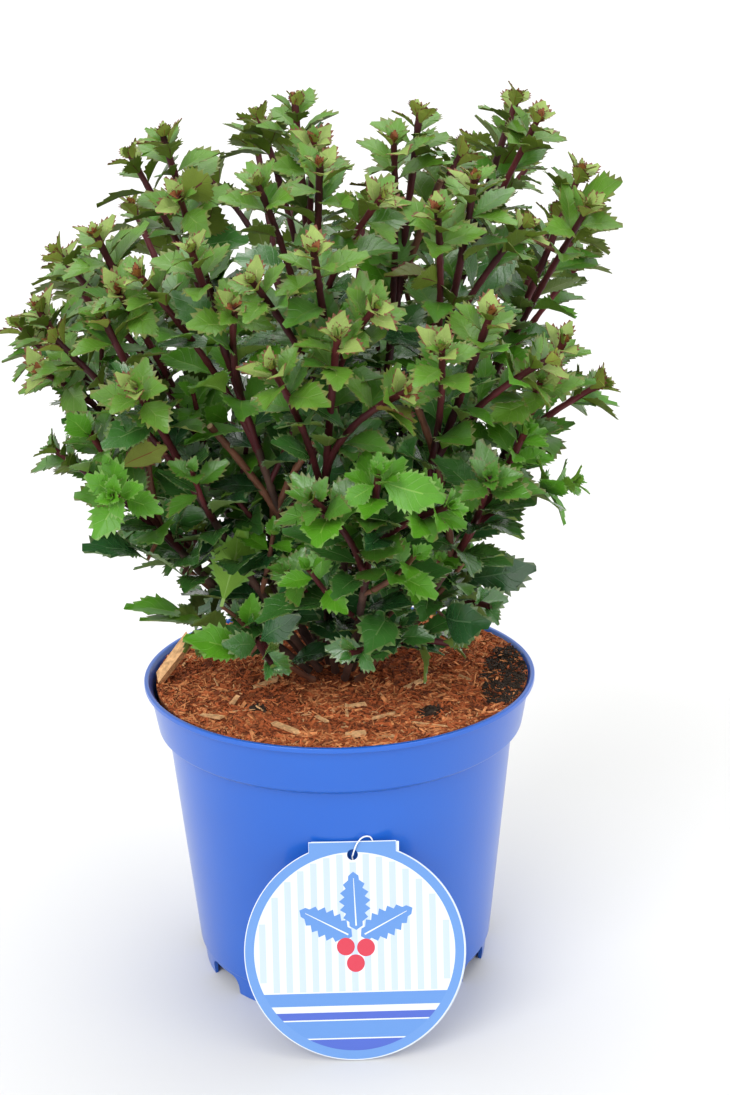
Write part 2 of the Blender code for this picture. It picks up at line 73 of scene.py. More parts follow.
# Camera: where the picture was taken from, its turn in degrees, and its lens
CAMERA_PLACE = (0, -0.864, 0.495)
CAMERA_TURN = (71.87, 1.022, -1.234)
CAMERA_LENS = 62.47
# The room's brightness in front of the plant, where the camera stands, and behind it
WORLD_FRONT = 0.62
WORLD_BACK = 0.93

# The source's sizes that the growth rule needs
SOIL_LEVEL = 145.2 * MM
FOOT_SPHERE = 23 * MM
FOOT_SINK = 8 * MM
BOUGH_BEND = 0.45
BASE_PITCH = math.radians(15)
LOWEST_BASE = math.radians(27)
FORKS = (0.52, 0.66)
FORK_OUT = 5 * MM
FORK_CLEAR = 5 * MM
GOLDEN_TURN = math.radians(137.5)
LEADERS = (
    (-154, 78, 411, 28, 22),
    (-149, 16, 421, 24, 14),
    (-92, 88, 403, 25, 12),
    (-44, 55, 418, 22, 18),
    (5, 86, 420, 24, 14),
    (-143, 121, 375, 24, 20),
    (-117, 121, 373, 22, 20),
    (-93, 120, 374, 24, 22),
    (-54, 102, 396, 24, 20),
    (-10, 113, 390, 25, 22),
    (-136, 131, 345, 26, 26),
    (-162, 134, 338, 24, 22),
    (-89, 130, 342, 26, 22),
    (-61, 131, 346, 26, 20),
    (-38, 124, 326, 26, 22),
    (-82, 126, 284, 28, 14),
    (-143, 130, 292, 24, 22),
    (-50, 124, 292, 26, 26),
    (24, 118, 362, 28, 26),
    (50, 112, 392, 28, 22),
    (82, 128, 350, 30, 26),
    (112, 96, 404, 28, 20),
    (140, 126, 366, 28, 26),
    (176, 124, 352, 28, 26),
)
LOW_SHOOTS = 5
LOW_AZIMUTH = -64
LOW_REACH = 64 * MM
LOW_HEIGHT = 194 * MM
LOW_SPREAD = 28 * MM
LOW_DROP = 14 * MM

# Leaves: columns across a blade, its thickness and stalk as shares of its length, and its spines of the teeth's pitch
LEAF_COLUMNS = (-1, -0.045, 0.045, 1)
LEAF_THICK = 0.014
LEAF_STALK = 0.020
SPINE_OUT = 0.82
SPINE_FORWARD = 0.22
# Rows along a blade: the stalk's, then a tooth's tip and end as shares of the way to the next
LEAF_STALK_ROWS = (0, 0.11, 0.25)
TOOTH_ROWS = (0.72, 1.0)
LEAF_ROW_STEP = 7
MARGIN_MARK = 0.965
# Side veins: how many along a blade, how far they slant forwards, and their breadth
VEIN_COUNT = 7
VEIN_SLANT = 0.5
VEIN_BREADTH = 0.07
# Leaf shapes: teeth a side, breadth, where it is widest, fold, droop, twist, wave and seed
LEAF_KINDS = {
    "grown": (
        (8, 0.54, 1.10, 0.12, 0.10, 0.30, 1.0, 1),
        (9, 0.58, 1.00, 0.20, 0.15, -0.4, 1.3, 2),
        (9, 0.48, 1.20, 0.10, -0.06, 0.2, 0.8, 3),
        (8, 0.56, 1.05, 0.16, 0.18, 0.0, 1.2, 4),
        (8, 0.52, 1.20, 0.30, 0.16, 0.45, 1.0, 14),
        (9, 0.50, 1.10, 0.42, 0.06, -0.2, 1.2, 15),
    ),
    "upper": (
        (8, 0.54, 1.05, 0.20, 0.14, 0.3, 0.9, 5),
        (7, 0.60, 0.95, 0.30, 0.18, -0.3, 1.0, 6),
        (8, 0.50, 1.15, 0.14, -0.05, 0.3, 0.8, 7),
        (7, 0.54, 1.05, 0.40, 0.10, -0.1, 1.0, 16),
    ),
    "young": (
        (6, 0.56, 1.0, 0.26, 0.06, 0.2, 1.0, 8),
        (6, 0.52, 1.1, 0.36, -0.06, -0.2, 1.2, 9),
        (6, 0.60, 0.9, 0.22, 0.14, 0.1, 1.0, 10),
    ),
}
LIGHT_OUT = 0.15
LEAF_TURNS = (0, 30, -30, 62, -62, 95, -95)
LEAF_SAMPLES = np.array(
    [(0.42, 0, 0), (0.6, 0.17, 0), (0.6, -0.17, 0), (0.8, 0.12, 0), (0.8, -0.12, 0), (1.0, 0, 0)]
)
LEAF_CLEAR = 2.5 * MM
STEM_CLEAR = 2.2 * MM
ROOM_CELL = 2.6 * MM
BOX_SPARE = 6 * MM
LEAF_FLOOR = 20 * MM
UPRIGHT_SHARE = 0.12
LOOSER = 0.7
# How far below and above the level a blade may point, as sines
LEAF_LEVEL = (-0.08, 0.5)
LEAVES_A_PIECE = 300
TUFT_DEPTH = 17 * MM
LIME_ABOVE = 0.3
VIVID_ABOVE = 0.215
VIVID_BELOW = 0.34
BRONZE_SHARE = 0.14
# A tip's tuft: each leaf's depth below the tip in mm, size, rise, tone and scatter of the rise
TUFT = (
    (16.0, 0.82, 74, "fresh", 9),
    (13.0, 0.77, 70, "fresh", 9),
    (10.4, 0.70, 66, "fresh", 9),
    (8.2, 0.64, 60, "fresh", 9),
    (6.2, 0.58, 56, "lime", 9),
    (4.6, 0.51, 50, "lime", 9),
    (3.2, 0.44, 42, "lime", 8),
    (2.2, 0.36, 34, "lime", 8),
    (1.4, 0.29, 24, "lime", 7),
    (2.0, 0.26, 30, "red", 7),
    (1.0, 0.22, 20, "red", 6),
    (0.4, 0.17, 8, "red", 5),
)
# Leaves that stand out at the front, in mm: base, tip and breadth, then the turn of the upper side from
# the front over the top to the back in degrees, and the tone
PLACED_LEAVES = (
    (-74, -50, 234, -61, -61, 264, 19, 0, "deep"),
    (-68, -46, 216, -39, -43, 245, 17, 58, "old"),
    (-53, -50, 202, -42, -60, 238, 19, 180, "vivid"),
    (-41, -50, 178, -66, -60, 192, 15, 40, "vivid"),
    (-42, -41, 188, -39, -51, 206, 9, 0, "vivid"),
    (-84, -62, 229, -106, -81, 245, 17, 78, "old"),
    (-70, -48, 217, -92, -67, 235, 17, 78, "old"),
    (-68, -28, 187, -95, -34, 201, 15, 78, "vivid"),
    (-56, -33, 185, -89, -39, 195, 16, 78, "fresh"),
    (-90, -81, 263, -98, -93, 277, 11, 180, "vivid"),
    (-103, -77, 289, -111, -90, 304, 10, 0, "vivid"),
    (-95, -69, 273, -72, -69, 284, 11, 180, "lime"),
    (-53, -50, 262, -75, -52, 283, 16, 0, "deep"),
    (-48, -44, 281, -27, -54, 291, 12, 32, "vivid"),
    (-46, -46, 287, -56, -58, 297, 10, 0, "vivid"),
    (-42, -26, 249, -39, -37, 276, 16, 0, "vivid"),
    (-49, -41, 274, -30, -47, 269, 10, 78, "lime"),
    (17, -123, 281, 42, -132, 275, 15, 0, "vivid"),
    (17, -121, 279, 3, -131, 274, 8, 0, "vivid"),
    (32, 11, 249, 50, -2, 266, 13, 41, "vivid"),
    (62, 9, 192, 93, -2, 200, 19, 0, "old"),
    (48, -48, 194, 62, -78, 200, 18, 0, "old"),
    (89, -80, 262, 96, -97, 272, 11, 0, "vivid"),
    (-16, -74, 264, 6, -89, 282, 15, 43, "old"),
    (29, -42, 373, 15, -58, 391, 19, 180, "fresh"),
    (-62, -59, 387, -49, -63, 397, 15, 180, "fresh"),
    (-59, -39, 367, -48, -46, 381, 16, 180, "fresh"),
    (-48, -94, 342, -61, -110, 355, 13, 0, "deep"),
    (85, -32, 365, 64, -41, 341, 14, 19, "deep"),
    (46, -81, 353, 34, -92, 359, 12, 180, "fresh"),
    (103, -18, 369, 127, -40, 386, 17, 50, "fresh"),
)
OPEN_REACH = 45 * MM
# Leaf tones: blade, rib, underside, underside's rib and spine colours, and the blade's roughness and gloss
TONES = {
    "red": ((0.25, 0.090, 0.034), (0.24, 0.08, 0.03), (0.28, 0.11, 0.03), (0.20, 0.03, 0.02), (0.12, 0.02, 0.02), 0.55, 0.2),
    "lime": ((0.240, 0.335, 0.080), (0.36, 0.40, 0.14), (0.25, 0.30, 0.05), (0.25, 0.10, 0.03), (0.16, 0.06, 0.03), 0.5, 0.3),
    "bronze": ((0.105, 0.132, 0.014), (0.14, 0.11, 0.03), (0.16, 0.13, 0.018), (0.12, 0.03, 0.02), (0.10, 0.025, 0.016), 0.38, 0.5),
    "vivid": ((0.077, 0.256, 0.011), (0.16, 0.34, 0.04), (0.13, 0.26, 0.025), (0.22, 0.36, 0.08), (0.14, 0.29, 0.05), 0.40, 0.4),
    "fresh": ((0.094, 0.222, 0.019), (0.17, 0.28, 0.05), (0.130, 0.185, 0.020), (0.10, 0.02, 0.02), (0.135, 0.170, 0.030), 0.36, 0.5),
    "mid": ((0.068, 0.202, 0.019), (0.13, 0.25, 0.04), (0.12, 0.18, 0.018), (0.12, 0.04, 0.02), (0.12, 0.15, 0.035), 0.32, 0.7),
    "deep": ((0.042, 0.150, 0.025), (0.10, 0.21, 0.05), (0.12, 0.18, 0.030), (0.18, 0.22, 0.07), (0.115, 0.190, 0.055), 0.27, 0.9),
    "old": ((0.022, 0.094, 0.025), (0.07, 0.16, 0.06), (0.10, 0.16, 0.036), (0.14, 0.18, 0.06), (0.100, 0.165, 0.060), 0.24, 1.0),
}
TONE_STEPS = (("fresh", 1.28), ("mid", 0.82), ("deep", 0.46))

# Stems: where a bough's old bark gives way to young, and the finer twigs on boughs and side shoots
OLD_SHARE = 0.6
BROWN_BELOW = 0.27
FINE_SHARES = (0.3, 0.4, 0.52)
FINE_SIDE_SHARES = (0.45,)
FINE_LENGTH = 46 * MM
FINE_SIDE_LENGTH = 30 * MM
FINE_CLEAR = 7 * MM
FINE_SEED = 5

# Shoots that were cut back, each with a pale end: its mass and shoot, where it leaves, and its end in mm
CUT_SHOOTS = (
    (16, 0, 0.68, -82, -60, 284),
    (6, 0, 0.42, -53, -72, 292),
    (6, 0, 0.44, -8, -75, 285),
    (5, 0, 0.18, -28, -50, 254),
    (17, 0, 0.54, 35, -95, 304),
    (3, 2, 0.3, 49, -30, 389),
    (14, 0, 0.78, 90, -72, 301),
)

# Spurs: how far off a stem a placed leaf gets one, and the places on a stem that it may spring from
SPUR_FROM = 1.2 * MM
SPUR_PLACES = 120

# Pot, in mm: a profile of radius, height and corner rounding, from the floor's middle inside to the hub
POT_PROFILE = (
    (0, 11.6, 0),
    (71.8, 11.6, 3),
    (82.7, 123.9, 1.5),
    (87.5, 127.4, 1.5),
    (90.9, 147, 1.5),
    (93.1, 150.0, 0.5),
    (95.0, 150.0, 0.6),
    (95.0, 147.6, 0.3),
    (92.6, 147.0, 0.3),
    (89.0, 126.2, 0.8),
    (84.3, 123.2, 0.6),
    (73.4, 11.6, 0.7),
    (72.3, 11.0, 0.5),
    (71.0, 0.0, 0.4),
    (69.4, 0.0, 0.4),
    (69.8, 9.6, 1),
    (16.0, 9.6, 1),
    (15.0, 0.0, 0.4),
    (0, 0, 0),
)
POT_STEPS = 180
NOTCHES = 9
NOTCH_AZIMUTH = -27
NOTCH_DEPTH = 8 * MM
NOTCH_WIDTH = 24 * MM
NOTCH_TOP = 9.2 * MM
NOTCH_ROUND = 5 * MM
NOTCH_REACH = 70.2 * MM

# Potting mix: its surface's radius, rings across it, and its sides and underside in mm
SOIL_RADIUS = 90.0 * MM
SOIL_RINGS = 64
SOIL_UNDER = ((86.6, 128.4), (81.7, 124.4), (71.2, 12.3), (0, 12.3))
# Chip tones: colour, number and longest length in mm
CHIP_TONES = {
    "dark": ((0.15, 0.036, 0.013), 4200, 7),
    "russet": ((0.43, 0.110, 0.035), 7800, 9),
    "tan": ((0.62, 0.245, 0.092), 4700, 12),
    "pale": ((0.66, 0.38, 0.180), 230, 13),
    "black": ((0.036, 0.025, 0.018), 1150, 3.5),
}
# Large chips of a tone: azimuth, reach, turn and rise in degrees, then length, width and thickness in mm
LARGE_CHIPS = {
    "pale": (
        (180, 80.5, 34, 44, 29, 10.5, 3.8),
        (-84, 45, 12, 3, 17, 3.5, 1.5),
        (-110, 73, -52, 4, 20, 3.5, 1.2),
        (-98, 62, -60, 5, 13, 2.2, 1),
        (-70, 58, 25, 2, 14, 2.5, 1),
        (-85, 76, 5, 6, 10, 6, 1.2),
        (-74, 79, -35, 4, 9, 3.5, 1),
        (-158, 38, 35, 4, 16, 3, 1.4),
        (-30, 40, 40, 5, 14, 3.5, 1.2),
        (-140, 78, -35, 8, 14, 3, 1.2),
        (-59, 79, -27, 3, 20, 0.9, 0.7),
    ),
}
THIN_SHARE = 0.5
BLACK_SPREAD = (-31, 17)
BLACK_INNER = 69.5
BLACK_CRUMBS = ((-134, 58), (-131, 56), (-53, 66), (-50, 67))

# Hang tag, in mm: the print's layers lie over the card, and it leans on the pot
TAG_RADIUS = 50.5
TAG_TAB_WIDTH = 40
TAG_PRINTED = 0.992
TAG_TAB_TOP = 51
TAG_HOLE_RADIUS = 2.5
TAG_HOLE_UP = 44.8
TAG_FIELD = 46
TAG_BANDS_TOP = -19
TAG_LEAN = math.radians(14.55)
TAG_SHIFT = 3.9 * MM
TAG_FOOT = 108.38 * MM
TAG_LIFT = 0.15 * MM
TAG_INKS = {
    "rim": ((0.120, 0.272, 0.61), 0.32),
    "stripes": ((0.50, 0.60, 0.80), 0.32),
    "bands": ((0.105, 0.255, 0.60), 0.32),
    "base": ((0.060, 0.115, 0.50), 0.32),
    "leaves": ((0.105, 0.255, 0.60), 0.32),
    "veins": ((0.72, 0.77, 0.86), 0.32),
    "berries": ((0.58, 0.036, 0.07), 0.30),
}
TAG_LAYER = {"rim": 0.0, "stripes": 0.0, "bands": 0.01, "base": 0.0, "leaves": 0.02, "veins": 0.04, "berries": 0.06}
STRING_RADIUS = 0.35 * MM
# The string's route on the card, in mm: across, up and out in front of its middle
STRING_ROUTE = (
    (25, 5, -12),
    (22, 9, -7),
    (15, 30, -7),
    (8, 60, -6),
    (2, 85, -3.2),
    (0, 93, -1.9),
    (0.2, 95.2, 0),
    (0.8, 97.5, 1.3),
    (2.2, 100.8, 1.6),
    (4.6, 103.2, 1.0),
    (7.2, 103.5, -0.3),
    (9, 101.9, -1.3),
    (10, 97, -1.6),
    (14, 70, -5),
    (22, 30, -9),
    (27, 10, -14),
)


def place_objects(collection_items):
    for item in collection_items:
        bpy.context.scene.collection.objects.link(item)


def add_piece(name, mesh, materials, nodes=()):
    """A finished piece: its object at the origin, riding on the body, in place of CAD nodes."""
    mesh.materials.clear()
    for material in materials:
        mesh.materials.append(material)
    made = bpy.data.objects.new(name, mesh)
    bpy.context.scene.collection.objects.link(made)
    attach(made, BODY)
    if nodes:
        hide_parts(*nodes)
    return made


def evaluated_mesh(made, name):
    """An object's mesh with its modifiers applied; the object is then removed."""
    bpy.context.view_layer.update()
    evaluated = made.evaluated_get(bpy.context.evaluated_depsgraph_get())
    mesh = bpy.data.meshes.new_from_object(evaluated)
    mesh.name = name
    mesh.transform(made.matrix_world)
    bpy.data.objects.remove(made, do_unlink=True)
    return mesh


def shade(mesh, degrees=40):
    mesh.shade_smooth()
    mesh.set_sharp_from_angle(angle=math.radians(degrees))


def new_material(name, colour, roughness, coat=0.0, specular=0.5):
    """A Principled material and its node tree."""
    made = bpy.data.materials.new(name)
    made.use_nodes = True
    tree = made.node_tree
    shader = tree.nodes["Principled BSDF"]
    shader.inputs["Base Color"].default_value = (*colour, 1)
    shader.inputs["Roughness"].default_value = roughness
    shader.inputs["Specular IOR Level"].default_value = specular
    shader.inputs["Coat Weight"].default_value = coat
    return made, tree, shader


def add_noise(tree, scale, detail=3.0):
    """A noise texture on object coordinates."""
    coordinates = tree.nodes.new("ShaderNodeTexCoord")
    texture = tree.nodes.new("ShaderNodeTexNoise")
    texture.inputs["Scale"].default_value = scale
    texture.inputs["Detail"].default_value = detail
    tree.links.new(coordinates.outputs["Object"], texture.inputs["Vector"])
    return texture.outputs["Fac"]


def maths(tree, operation, first, second=None):
    """A math node on sockets or numbers; returns its result."""
    node = tree.nodes.new("ShaderNodeMath")
    node.operation = operation
    for socket, value in zip(node.inputs, (first, second)):
        if isinstance(value, bpy.types.NodeSocket):
            tree.links.new(value, socket)
        elif value is not None:
            socket.default_value = value
    return node.outputs["Value"]


def mottle(tree, shader, dark, light, scale):
    """Base colour that wanders between two tones."""
    ramp = tree.nodes.new("ShaderNodeValToRGB")
    ramp.color_ramp.elements[0].position = 0.3
    ramp.color_ramp.elements[0].color = (*dark, 1)
    ramp.color_ramp.elements[1].position = 0.7
    ramp.color_ramp.elements[1].color = (*light, 1)
    tree.links.new(add_noise(tree, scale), ramp.inputs["Fac"])
    tree.links.new(ramp.outputs["Color"], shader.inputs["Base Color"])


def add_bump(tree, shader, scale, strength, distance):
    bump = tree.nodes.new("ShaderNodeBump")
    bump.inputs["Strength"].default_value = strength
    bump.inputs["Distance"].default_value = distance
    tree.links.new(add_noise(tree, scale), bump.inputs["Height"])
    tree.links.new(bump.outputs["Normal"], shader.inputs["Normal"])


def polar(azimuth, reach, height):
    """A point from an azimuth in degrees and metres."""
    angle = math.radians(azimuth)
    return Vector((reach * math.cos(angle), reach * math.sin(angle), height))


def foot_centre():
    return Vector((0, 0, SOIL_LEVEL - FOOT_SINK))


def shoot_table():
    """Each leading shoot's tip, side spread and drop: the crown's leaders, then the low shoots."""
    table = []
    for azimuth, reach, height, spread, drop in LEADERS:
        table.append((polar(azimuth, reach * MM, height * MM), spread * MM, drop * MM))
    for index in range(LOW_SHOOTS):
        tip = polar(LOW_AZIMUTH + index * 360 / LOW_SHOOTS, LOW_REACH, LOW_HEIGHT)
        table.append((tip, LOW_SPREAD, LOW_DROP))
    return table


def raised(aim):
    """A direction's unit vector, no lower than the lowest base."""
    aim = aim.normalized()
    lowest = math.sin(LOWEST_BASE)
    if aim.z < lowest:
        flat = Vector((aim.x, aim.y, 0)).normalized() * math.cos(LOWEST_BASE)
        aim = Vector((flat.x, flat.y, lowest))
    return aim


def base_directions(tips):
    """Where each bough springs from the foot: towards its tip, pushed apart to a clear pitch."""
    centre = foot_centre()
    aims = [(tip - centre).normalized() for tip in tips]
    for _ in range(400):
        moves = [Vector() for _ in aims]
        for i, one in enumerate(aims):
            for j in range(i + 1, len(aims)):
                apart = aims[j] - one
                short = BASE_PITCH - apart.length
                if short > 0:
                    push = apart.normalized() * short * 0.5
                    moves[i] -= push
                    moves[j] += push
        aims = [raised(aim + move) for aim, move in zip(aims, moves)]
    return aims


def bezier(start, aim, tip, share):
    """A point on the quadratic curve that leaves start along aim and ends at tip."""
    bend = start + aim * (tip - start).length * BOUGH_BEND
    rest = 1 - share
    return start * rest * rest + bend * 2 * rest * share + tip * share * share


class Shoot:
    """A tapering axis from one share of a Bezier curve to another."""

    def __init__(self, curve, low, kind):
        self.curve, self.low, self.kind = curve, low, kind
        self.bare = {"crown": 0.05, "low": 0.12, "fine": 0.12, "cut": 0.1}[kind]
        self.points = [self.at(low + (1 - low) * i / 6) for i in range(7)]

    def at(self, share):
        return bezier(*self.curve, share)

    def tangent(self, share):
        return (self.at(share + 0.01) - self.at(share - 0.01)).normalized()

    def length(self):
        return sum((b - a).length for a, b in zip(self.points, self.points[1:]))

    def segments(self):
        return np.array([(tuple(a), tuple(b)) for a, b in zip(self.points, self.points[1:])])


def nearest(points, segments):
    """Each point's distance to the nearest segment."""
    start, end = segments[:, 0], segments[:, 1]
    along = end - start
    offset = points[:, None] - start[None]
    share = (offset * along).sum(2) / (along * along).sum(1)
    foot = start + np.clip(share, 0, 1)[..., None] * along
    return np.linalg.norm(points[:, None] - foot, axis=2).min(1)


def grow_skeleton():
    """Each mass's leader, from the foot to its tip, and the side shoots that fork from it."""
    table = shoot_table()
    aims = base_directions([tip for tip, _, _ in table])
    masses = []
    for index, ((tip, _, _), aim) in enumerate(zip(table, aims)):
        start = foot_centre() + aim * FOOT_SPHERE
        kind = "low" if index >= len(LEADERS) else "crown"
        leader = Shoot((start, aim, tip), 0, kind)
        leader.bare = 0.16
        masses.append([leader])
    for index, (tip, spread, drop) in enumerate(table):
        leader = masses[index][0]
        outward = Vector((tip.x, tip.y, 0)).normalized()
        across = Vector((-outward.y, outward.x, 0))
        others = [shoot.segments() for i, mass in enumerate(masses) if i != index for shoot in mass]
        others = np.concatenate(others)
        for order, share in enumerate(FORKS):
            side = across * spread * (1 if order else -1)
            end = tip + side + outward * FORK_OUT - Vector((0, 0, drop * (order + 1) / 2))
            twig = Shoot((leader.at(share), leader.tangent(share), end), 0, leader.kind)
            if nearest(np.array(twig.points[1:]), others).min() > FORK_CLEAR:
                masses[index].append(twig)
    return masses


class LeafKind:
    """One leaf shape as arrays: a toothed blade with a rib, a thin margin round it, and its underside."""

    def __init__(self, teeth, broad, widest, fold, droop, twist, wave, seed):
        chance = random.Random(seed)
        self.broad = broad
        rows = len(LEAF_STALK_ROWS) - 1 + len(TOOTH_ROWS) * teeth
        across = len(LEAF_COLUMNS) - 1
        shape = bmesh.new()
        bmesh.ops.create_grid(shape, x_segments=rows, y_segments=across, size=0.5)
        row_layer = shape.verts.layers.int.new("row")
        lateral_layer = shape.verts.layers.float.new("lateral")
        along_layer = shape.verts.layers.float.new("along")
        for vert in shape.verts:
            vert[row_layer] = round((vert.co.x + 0.5) * rows)
            vert[lateral_layer] = LEAF_COLUMNS[round((vert.co.y + 0.5) * across)]
        margins = {side: self.margin(rows, broad, widest, wave, chance) for side in (-1, 1)}
        for vert in shape.verts:
            lateral = vert[lateral_layer]
            side = 1 if lateral > 0 else -1
            along, half, tooth, lift = margins[side][vert[row_layer]]
            vert[along_layer] = along
            half_here = half
            place = along
            if abs(lateral) == 1:
                place, half_here = tooth
                if not lift:
                    vert[lateral_layer] = lateral * MARGIN_MARK
            else:
                lift = 0
            width = lateral * half_here
            cup = fold * (abs(lateral) - 0.4 * lateral * lateral) * half * 2
            arch = 0.06 * math.sin(math.pi * along) - droop * along * along
            vert.co = (place, width, cup + arch + lift + twist * along * width)
        kept = {1} | set(range(rows, 1, -LEAF_ROW_STEP))
        crossing = [
            edge
            for edge in shape.edges
            if edge.verts[0][row_layer] == edge.verts[1][row_layer]
            and edge.verts[0][row_layer] not in kept
            and not edge.is_boundary
        ]
        bmesh.ops.dissolve_edges(shape, edges=crossing)
        loose = [vert for vert in shape.verts if len(vert.link_edges) == 2 and not vert.is_boundary]
        bmesh.ops.dissolve_verts(shape, verts=loose)
        bmesh.ops.remove_doubles(shape, verts=shape.verts[:], dist=LEAF_THICK / 100)
        bmesh.ops.triangulate(shape, faces=shape.faces[:])
        under = set(shape.verts)
        points = {vert for vert in under if vert.is_boundary and self.pointed(vert, row_layer, rows)}
        bmesh.ops.extrude_face_region(shape, geom=shape.faces[:], use_keep_orig=True)
        for vert in under:
            if vert not in points:
                vert.co.z -= LEAF_THICK
        bmesh.ops.remove_doubles(shape, verts=shape.verts[:], dist=LEAF_THICK / 100)
        bmesh.ops.recalc_face_normals(shape, faces=shape.faces)
        shape.normal_update()
        shape.verts.index_update()
        self.sides = np.array([self.side(face, lateral_layer, row_layer) for face in shape.faces])
        self.points = np.array([tuple(vert.co) for vert in shape.verts])
        self.blade = np.array([(vert[along_layer], vert[lateral_layer] / 2 + 0.5) for vert in shape.verts])
        self.lengths = np.array([len(face.verts) for face in shape.faces])
        self.corners = np.array([vert.index for face in shape.faces for vert in face.verts])
        shape.free()

    def pointed(self, vert, row_layer, rows):
        """Whether both skins meet at a vertex: a tooth's tip or the blade's."""
        tooth, step = divmod(vert[row_layer] - len(LEAF_STALK_ROWS), len(TOOTH_ROWS))
        return vert[row_layer] == rows or (tooth >= 0 and step == 0)

    def margin(self, rows, broad, widest, wave, chance):
        """Each row's place along the blade, half width, tooth or notch, and lift of the margin."""
        stalk_rows = len(LEAF_STALK_ROWS)
        pitch = (1 - LEAF_STALK_ROWS[-1]) / ((rows - stalk_rows + 1) / len(TOOTH_ROWS))
        made = []
        for row in range(rows + 1):
            tooth, step = divmod(row - stalk_rows, len(TOOTH_ROWS))
            along = LEAF_STALK_ROWS[row] if tooth < 0 else LEAF_STALK_ROWS[-1] + pitch * (tooth + TOOTH_ROWS[step])
            half = self.half_width(along, broad, widest)
            slope = (self.half_width(along + 0.01, broad, widest) - half) / 0.01
            ahead = 1 / math.hypot(1, slope)
            edge = (along, half)
            lift = 0.0
            if tooth >= 0 and step == 0:
                out = SPINE_OUT * pitch * chance.uniform(0.75, 1.3) * min(1, 0.6 + tooth * 0.15)
                forward = pitch * SPINE_FORWARD
                edge = (along + ahead * forward - slope * ahead * out, half + slope * ahead * forward + ahead * out)
                lift = 0.03 * wave * chance.uniform(-1, 1) + 0.001
            if row == rows:
                along = 1.05
                edge = (along, 0)
            made.append((along, half, edge, lift))
        return made

    def half_width(self, along, broad, widest):
        """Half the blade's width at a share of its length."""
        start = LEAF_STALK_ROWS[1]
        if along >= 1:
            return 0.0
        if along <= start:
            return LEAF_STALK
        share = (along - start) / (1 - start)
        return max(LEAF_STALK, broad / 2 * math.sin(math.pi * share**widest) ** 0.92)

    def side(self, face, lateral_layer, row_layer):
        """A face's finish: 0 blade, 1 rib, 2 underside, 3 stalk."""
        if max(vert[row_layer] for vert in face.verts) <= 1:
            return 3
        if face.normal.z < 0:
            return 2
        return 1 if max(abs(vert[lateral_layer]) for vert in face.verts) < 0.1 else 0


def leaf_matrix(root, tangent, turn, rise):
    """A leaf's frame: X runs out along the leaf, Z is its upper side, towards the twig's tip."""
    side = tangent.orthogonal().normalized()
    side = Quaternion(tangent, turn) @ side
    along = tangent * math.cos(rise) + side * math.sin(rise)
    across = tangent.cross(along).normalized()
    upper = along.cross(across)
    matrix = Matrix((along, across, upper)).transposed().to_4x4()
    matrix.translation = root
    return matrix


def lit(matrix, lift, face):
    """A leaf's frame raised by lift and turned by face, so that its upper side looks outwards and up."""
    place = matrix.translation
    sky = Vector((0, 0, 1))
    light = Vector((place.x, place.y, 0)).normalized() * LIGHT_OUT + sky
    along = (matrix.col[0].xyz + sky * lift).normalized()
    upper = matrix.col[2].xyz * (1 - face) + light * face
    upper = upper - along * upper.dot(along)
    if upper.length < 0.1:
        upper = matrix.col[2].xyz - along * matrix.col[2].xyz.dot(along)
    upper.normalize()
    made = Matrix((along, upper.cross(along), upper)).transposed().to_4x4()
    made.translation = matrix.translation
    return made


class Room:
    """Places that are taken, in cells, so that a new leaf's clearance is quick to find."""

    def __init__(self, cell):
        self.cell = cell
        self.taken = {}

    def key(self, point):
        return tuple(int(math.floor(value / self.cell)) for value in point)

    def add(self, points, clear):
        for point in points:
            self.taken.setdefault(self.key(point), []).append((*point, clear))

    def clear_of(self, points, clear):
        for point in points:
            x, y, z = self.key(point)
            for i in (x - 1, x, x + 1):
                for j in (y - 1, y, y + 1):
                    for k in (z - 1, z, z + 1):
                        for other in self.taken.get((i, j, k), ()):
                            least = max(clear, other[3])
                            gap = (point[0] - other[0]) ** 2 + (point[1] - other[1]) ** 2 + (point[2] - other[2]) ** 2
                            if gap < least * least:
                                return False
        return True


def joined_leaves(name, leaves, materials, nodes):
    """One piece from (kind, matrix) pairs, with the blades, ribs and undersides in their finishes."""
    points, corners, lengths, sides, blades = [], [], [], [], []
    count = 0
    for kind, matrix in leaves:
        array = np.array(matrix)
        points.append(kind.points @ array[:3, :3].T + array[:3, 3])
        corners.append(kind.corners + count)
        lengths.append(kind.lengths)
        sides.append(kind.sides)
        blades.append(kind.blade[kind.corners])
        count += len(kind.points)
    points, corners, lengths = np.concatenate(points), np.concatenate(corners), np.concatenate(lengths)
    mesh = bpy.data.meshes.new(name)
    mesh.vertices.add(len(points))
    mesh.vertices.foreach_set("co", points.astype(np.float32).ravel())
    mesh.loops.add(len(corners))
    mesh.loops.foreach_set("vertex_index", corners.astype(np.int32))
    mesh.polygons.add(len(lengths))
    starts = np.concatenate([[0], np.cumsum(lengths)[:-1]])
    mesh.polygons.foreach_set("loop_start", starts.astype(np.int32))
    mesh.polygons.foreach_set("loop_total", lengths.astype(np.int32))
    mesh.update(calc_edges=True)
    layer = mesh.uv_layers.new(name="blade")
    layer.data.foreach_set("uv", np.concatenate(blades).astype(np.float32).ravel())
    made = add_piece(name, mesh, materials, nodes)
    mesh.polygons.foreach_set("material_index", np.concatenate(sides).astype(np.int32))
    shade(mesh, 50)
    return made


def ranged(tree, value, lowest, highest, first, last):
    """A value carried from one range to another."""
    node = tree.nodes.new("ShaderNodeMapRange")
    for name, number in (("From Min", lowest), ("From Max", highest), ("To Min", first), ("To Max", last)):
        node.inputs[name].default_value = number
    tree.links.new(value, node.inputs["Value"])
    return node.outputs["Result"]


